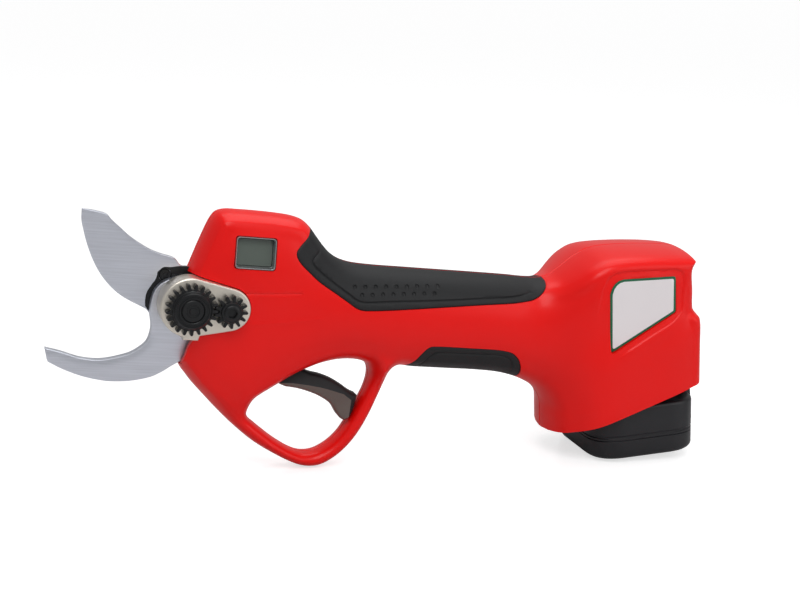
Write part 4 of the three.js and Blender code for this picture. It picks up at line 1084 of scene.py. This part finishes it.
def add_display():
    sizes = [(17.9, 13.7, 1.6, -4.4), (17.9, 13.7, 1.6, 0.0), (17.6, 13.4, 1.5, 0.28),
             (17.1, 12.9, 1.4, 0.28), (16.8, 12.6, 1.3, 0.1), (15.8, 11.6, 1.0, -2.6),
             (15.8, 11.6, 1.0, -4.4)]
    rings = []
    for width, height, radius, stand in sizes:
        loop = resample(window_loop(width, height, radius), 120, WINDOW_MIDDLE)
        rings.append(on_side(loop, stand))
    piece(loft(rings, True), "display_frame", SILVER, "body", ["display_bezel"], limit=40)
    for name, node, material, outer, inner in (
            ("display_window", "display_lens", GLASS, -2.7, -3.4),
            ("display_cell", "display_module", PANEL, -3.5, -5.6)):
        loop = resample(window_loop(15.6, 11.4, 0.9), 120, WINDOW_MIDDLE)
        inset = resample(window_loop(15.4, 11.2, 0.8), 120, WINDOW_MIDDLE)
        rings = [on_side(loop, inner), on_side(loop, outer - 0.1), on_side(inset, outer)]
        piece(loft(rings), name, material, "body", [node])


TRIGGER_LINE = [
    (60.1, -29.9), (65.9, -31.1), (70.9, -32.8), (76, -35.4), (81.1, -38.5), (83.6, -39.4), (82.8, -44.2),
    (81, -49), (78.9, -51.3), (76.9, -50.6), (75.2, -48.8), (72.4, -45), (69.7, -42.8), (64.6, -40.1),
    (59.7, -38.4), (54.9, -37.2), (49.2, -36.5), (45.4, -34.6), (44.2, -30), (46, -26), (50, -25),
    (54, -27.2)]
TRIGGER_PIVOT = (48.5, -29.0)
TRIGGER_CREASE = [(42, -34.6), (52, -34.4), (60, -35.1), (66, -36), (70, -36.9), (76.5, -38.6),
                  (80.4, -41.2), (80.2, -52)]
TRIGGER_HALF = 5.8


def add_trigger():
    """The trigger lever: black sides leaning in towards the top, and a glossy finger face below a crease whose
    light brownish grey is a painted reflection of the bright surroundings.
    """
    x, z = TRIGGER_PIVOT
    loop = cam_loop(TRIGGER_LINE, [5, 8, 16])
    crease = straight(TRIGGER_CREASE, 0.8, False)
    below = np.array(TRIGGER_CREASE + [(20, -60), (20, -34.6)], float)

    def half(p):
        away = distance_to(p, crease, False)
        lean = np.where(inside(p, below), 0.42, 0.5) * away
        rim = 1.1 * np.clip(1 - distance_to(p, loop) / 0.9, 0, 1) ** 2
        return np.maximum(TRIGGER_HALF - lean - rim, 1.2)

    rings = [offset(loop, depth) for depth in (0.12, 0.4, 0.9)]
    fill = hex_points(loop.min(0), loop.max(0), FILL_STEP)
    fill = fill[inside(fill, loop)]
    fill = fill[distance_to(fill, loop) > 1.2]
    points, tris = triangulate([(loop, True), (crease, False)], np.concatenate(rings + [fill]))
    keep = lambda c: inside(c, loop)
    bm = slab_solid(points, tris, keep, half, lambda p: -half(p), -1)
    # faces below the crease take the second slot, the light brownish grey of the painted reflection
    for face in bm.faces:
        middle = face.calc_center_median()
        face.material_index = int(inside(np.array([(middle.x, middle.z)]), below)[0])
    body = piece(bm, "trigger_lever", RUBBER, "trigger", ["trigger"], 28)
    # second slot: the painted reflection on the finger face
    body.data.materials.append(TRIGGER_PAINTED_REFLECTION)
    room = straight([(44, -30.5), (58, -30.5), (58, -22), (44, -22)], 40)
    cut(body, prism(room, 3.2, 8))
    cut(body, rod(3.7, 3.2, 8, 32, x, z))
    cut(body, rod(PIN_BORE, -10, 10, 24, x, z))


# ---------------------------------------------------------------- battery pack
LOBE_RADIUS, LOBE_OFFSET, VALLEY = 10.75, 10.25, 18.2


def clover(inset, count=160):
    """The four-lobed section, as (across, y) round the pack's axis."""
    turn = np.linspace(0, 2 * math.pi, count, endpoint=False)
    off = np.abs((turn % (math.pi / 2)) - math.pi / 4)
    reach = LOBE_OFFSET * math.sqrt(2)
    radius = LOBE_RADIUS - inset
    lobes = reach * np.cos(off) + np.sqrt(np.maximum(radius ** 2 - (reach * np.sin(off)) ** 2, 0.01))
    flat = (VALLEY - inset) / np.cos(math.pi / 4 - off)
    flat = np.where((VALLEY - inset) * np.tan(math.pi / 4 - off) < 4.2, flat, 0)
    r = np.maximum(lobes, flat)
    return np.stack([r * np.cos(turn), r * np.sin(turn)], 1)


def square(half, radius, count=160):
    h = half
    loop = rounded([(-h, -h), (h, -h), (h, h), (-h, h)], radius, 0.5)
    return resample(loop, count, (0.0, 0.0))


def pack_loft(sections):
    """A solid through level sections of the pack, [(down, loop)], put in the leaning bay."""
    rings = [[(PACK_CENTRE + u, y, -down) for u, y in loop] for down, loop in sections]
    return move(loft(rings), matrix=TILT)


def add_pack():
    top = [(4.0, clover(1.6)), (4.25, clover(0.8)), (4.8, clover(0.25)), (5.6, clover(0)), (40, clover(0)),
           (67, clover(0))]
    case = piece(pack_loft(top), "pack_case", PACK_BLACK, "battery", ["battery_case"])
    collar = [(66.0, square(25.4, 14.2)), (66.25, square(26.2, 14.6)), (66.9, square(26.8, 14.9)),
              (67.8, square(27, 15)), (79.8, square(27, 15)), (80.2, square(26.6, 14.8)),
              (80.8, square(26.6, 14.8)), (81.2, square(27, 15)), (82.0, square(27, 15))]
    cut(case, pack_loft(collar), "UNION")
    room = [(5.6, clover(1.6)), (6.6, clover(1.3)), (69, clover(1.3))]
    cut(case, pack_loft(room))
    room = [(68, square(22.2, 10.5)), (84, square(22.2, 10.5))]
    cut(case, pack_loft(room))
    cut(case, pack_block((24.8, -13, -83), (34, 13, -65)))

    cap_rings = [(82.3, square(26.7, 14.8)), (82.6, square(27, 15)), (88.6, square(27, 15)),
                 (89.6, square(26.8, 14.9)), (90.6, square(26.1, 14.4)), (91.4, square(25.0, 13.6)),
                 (91.85, square(23.6, 12.6)), (92, square(22, 11.5))]
    cap = piece(pack_loft(cap_rings), "pack_base", PACK_BLACK, "battery", ["battery_base_cap"])
    recess = [(91.4, square(17, 4)), (95, square(17, 4))]
    cut(cap, pack_loft(recess))
    border = [(91.44, square(16.7, 3.7)), (91.8, square(16.7, 3.7)), (91.86, square(16.5, 3.5))]
    piece(pack_loft(border), "pack_label_border", GREEN_INK, "battery", [])
    film = [(91.7, square(15.9, 3.0)), (91.93, square(15.9, 3.0)), (91.98, square(15.7, 2.8))]
    piece(pack_loft(film), "pack_label_film", LABEL, "battery", ["battery_label"])
    for i in range(4):
        strip = block((VALLEY + 0.03, -2.4, -33), (VALLEY + 0.7, 2.4, -18), 0.25, 2)
        groove = move(strip, matrix=Matrix.Rotation(i * math.pi / 2 + math.pi, 4, "Z"))
        names = ["contact_strip_1", "contact_strip_3", "contact_strip_2", "contact_strip_4"]
        piece(move(move(groove, (PACK_CENTRE, 0, 0)), matrix=TILT), f"contact_blade_{i + 1}", CONTACT,
              "battery", [names[i]])
    add_latch()


def add_latch():
    """A thumb pad that narrows upwards, its ribs, and the sprung tongue above it."""
    outline = rounded([(-12.4, -81.3), (12.4, -81.3), (8.4, -51.1), (-8.4, -51.1)], 1.6, 0.6)
    pad_rings = []
    for u, inset in ((27.2, 0.0), (29.3, 0.0), (29.8, 0.25), (30.0, 0.7)):
        loop = offset(outline, inset) if inset else outline
        pad_rings.append([(PACK_CENTRE + u, y, z) for y, z in loop])
    latch = piece(move(loft(pad_rings), matrix=TILT), "latch_pad", PACK_BLACK, "latch", ["battery_latch"])
    for k in range(6):
        down = 58.8 + 4 * k
        half = 6.6 + 0.11 * (down - 51)
        cut(latch, pack_block((29.6, -half, -down - 0.9), (31, half, -down + 0.9), 0.6, 3), "UNION")
    cut(latch, pack_block((24.2, -4.5, -64.6), (27.4, 4.5, -51.2), 0.3), "UNION")
    cut(latch, pack_block((24.2, -4.5, -52), (25.8, 4.5, -43), 0.3), "UNION")
    cut(latch, pack_block((25.6, -4.5, -45), (27, 4.5, -43), 0.25), "UNION")


# ---------------------------------------------------------------- labels, screws and kept CAD pieces
def film(inset, radius, y0, y1):
    """A thin sheet, smaller than the label's recess by inset all round, its outer rim slightly rounded."""
    p = np.array(LABEL_CORNERS, float)
    along = np.roll(p, -1, 0) - p
    along /= np.linalg.norm(along, axis=1)[:, None]
    inward = np.stack([-along[:, 1], along[:, 0]], 1) * np.sign(signed_area(p))
    before = np.roll(inward, 1, 0)
    loop = rounded(list(p + inset * (before + inward) / (1 + np.sum(before * inward, 1))[:, None]), radius)
    middle = loop.mean(0)
    top = middle + (loop - middle) * 0.996
    low, high = y0, y1 + 0.06 * (1 if y0 > y1 else -1)
    return loft([[(x, low, z) for x, z in loop], [(x, high, z) for x, z in loop],
                 [(x, y1, z) for x, z in top]])


def add_side_labels():
    for side, name in ((-1, "left"), (1, "right")):
        border = film(0.3, 1.3, side * 26.4, side * 26.75)
        piece(border, f"side_label_{name}_border", GREEN_INK, "body", [])
        middle = film(1.4, 0.8, side * 26.7, side * 26.9)
        piece(middle, f"side_label_{name}_film", LABEL, "body", [f"side_label_{name}"])


def add_shell_screws():
    for i, (x, z) in enumerate(SHELL_SCREWS):
        profile = [(0, 9.1), (1.1, 9.1), (1.1, 10.3), (1.9, 10.5), (2.6, 10.2), (2.9, 9.6), (2.9, 8.1),
                   (1.44, 8.1), (1.44, -6.5), (0, -6.5)]
        screw = lathe(profile, 28)
        piece(move(screw, (x, 0, z)), f"shell_fixing_screw_{i + 1}", SCREW_STEEL, "body",
              [f"shell_screw_{i + 1}"])


KEPT = {
    "blade_bush": BRONZE, "frame_screw_1": BLACK_STEEL, "frame_screw_2": BLACK_STEEL,
    "drive_pinion": DRIVE_STEEL, "pinion_bearing": DRIVE_STEEL,
    "planetary_gearbox": DRIVE_STEEL, "drive_motor": DRIVE_STEEL, "trigger_pin": SCREW_STEEL,
    "trigger_spring": SCREW_STEEL, "trigger_sensor": BOARD, "control_board": BOARD,
    "bay_contact_block": PACK_BLACK,
    "motor_lead_1": WIRE, "motor_lead_2": WIRE, "battery_lead": WIRE, "cell_board": BOARD,
    **{f"battery_cell_{k}": CELL for k in range(1, 5)}}
SOFT_EDGE = 0.00015             # metres


def dress_kept_nodes():
    for name, material in KEPT.items():
        node = frame["nodes"][name]
        node.data.materials.clear()
        node.data.materials.append(material)
        soften = node.modifiers.new("soft_edges", "BEVEL")
        soften.width = SOFT_EDGE
        soften.segments = 2
        soften.limit_method = "ANGLE"
        soften.angle_limit = math.radians(35)


add_jaw()
add_blade()
add_blade_gear()
add_frame()
add_adjuster()
add_display()
add_trigger()
add_pack()
add_side_labels()
add_shell_screws()
dress_kept_nodes()


# ---------------------------------------------------------------- studio
FLOOR_POINT = (0.066, 0, -0.0743)               # metres from the blade pivot
FLOOR_LEAN = 5.2                                # degrees
FLOOR_COLOUR = (0.62, 0.62, 0.625, 1)
FLOOR_SEEN = 0.66
WORLD_LIT, WORLD_SEEN = 0.42, 1.0
WHITE = (1, 1, 1, 1)
CAMERA_POINT = (-0.14207, -0.69849, 0.15373)    # metres from the blade pivot
CAMERA_HEADING, CAMERA_DOWN, CAMERA_ROLL = -19.084, 11.343, 7.294    # degrees
CAMERA_LENS, CAMERA_SENSOR = 74.25, 36          # millimetres
LIGHTS = [
    ("key", (-0.25, -0.75, 0.95), (0.08, 0, 0), 0.7, 6.0),
    ("fill", (0.75, -0.75, 0.5), (0.15, 0, 0), 0.8, 2.2),
    ("top", (0.1, 0.25, 1.0), (0.1, 0, 0), 0.8, 3.6)]


def add_floor():
    """A wide, pale floor that meets the pack and the guard."""
    bm = bmesh.new()
    bmesh.ops.create_grid(bm, x_segments=2, y_segments=2, size=30.0)
    mesh = bpy.data.meshes.new("floor")
    bm.to_mesh(mesh)
    bm.free()
    floor = bpy.data.objects.new("floor", mesh)
    bpy.context.scene.collection.objects.link(floor)
    lean = Matrix.Rotation(-math.radians(FLOOR_LEAN), 4, "Y")
    floor.matrix_world = Matrix.Translation(PIVOT + Vector(FLOOR_POINT)) @ lean
    material = bpy.data.materials.new("studio_floor")
    material.use_nodes = True
    shader = material.node_tree.nodes["Principled BSDF"]
    shader.inputs["Base Color"].default_value = FLOOR_COLOUR
    shader.inputs["Roughness"].default_value = 0.28
    shader.inputs["Emission Color"].default_value = WHITE
    seen_only(material.node_tree, shader.inputs["Emission Strength"], 0.0, FLOOR_SEEN)
    mesh.materials.append(material)


def add_world():
    world = bpy.data.worlds.new("studio")
    world.use_nodes = True
    background = world.node_tree.nodes["Background"]
    background.inputs["Color"].default_value = WHITE
    seen_only(world.node_tree, background.inputs["Strength"], WORLD_LIT, WORLD_SEEN)
    bpy.context.scene.world = world


def add_camera():
    data = bpy.data.cameras.new("camera")
    data.lens = CAMERA_LENS
    data.sensor_width = CAMERA_SENSOR
    camera = bpy.data.objects.new("camera", data)
    bpy.context.scene.collection.objects.link(camera)
    place = Matrix.Translation(PIVOT + Vector(CAMERA_POINT))
    for angle, axis in ((CAMERA_HEADING, "Z"), (90 - CAMERA_DOWN, "X"), (CAMERA_ROLL, "Z")):
        place = place @ Matrix.Rotation(math.radians(angle), 4, axis)
    camera.matrix_world = place
    bpy.context.scene.camera = camera
    bpy.context.scene.view_settings.view_transform = "Standard"


def seen_only(tree, socket, lit, seen):
    """Gives a strength of lit to the light that falls on things and of seen to what the camera sees."""
    path = tree.nodes.new("ShaderNodeLightPath")
    mix = tree.nodes.new("ShaderNodeMix")
    mix.inputs["A"].default_value = lit
    mix.inputs["B"].default_value = seen
    tree.links.new(path.outputs["Is Camera Ray"], mix.inputs["Factor"])
    tree.links.new(mix.outputs["Result"], socket)


def soft_light(name, place, aim, size, power):
    data = bpy.data.lights.new(name, "AREA")
    data.size = size
    data.energy = power
    light = bpy.data.objects.new(name, data)
    bpy.context.scene.collection.objects.link(light)
    direction = Vector(aim) - Vector(place)
    light.matrix_world = Matrix.Translation(place) @ direction.to_track_quat("-Z", "Y").to_matrix().to_4x4()


add_floor()
add_world()
for name, place, aim, size, power in LIGHTS:
    soft_light(name, place, aim, size, power)
add_camera()
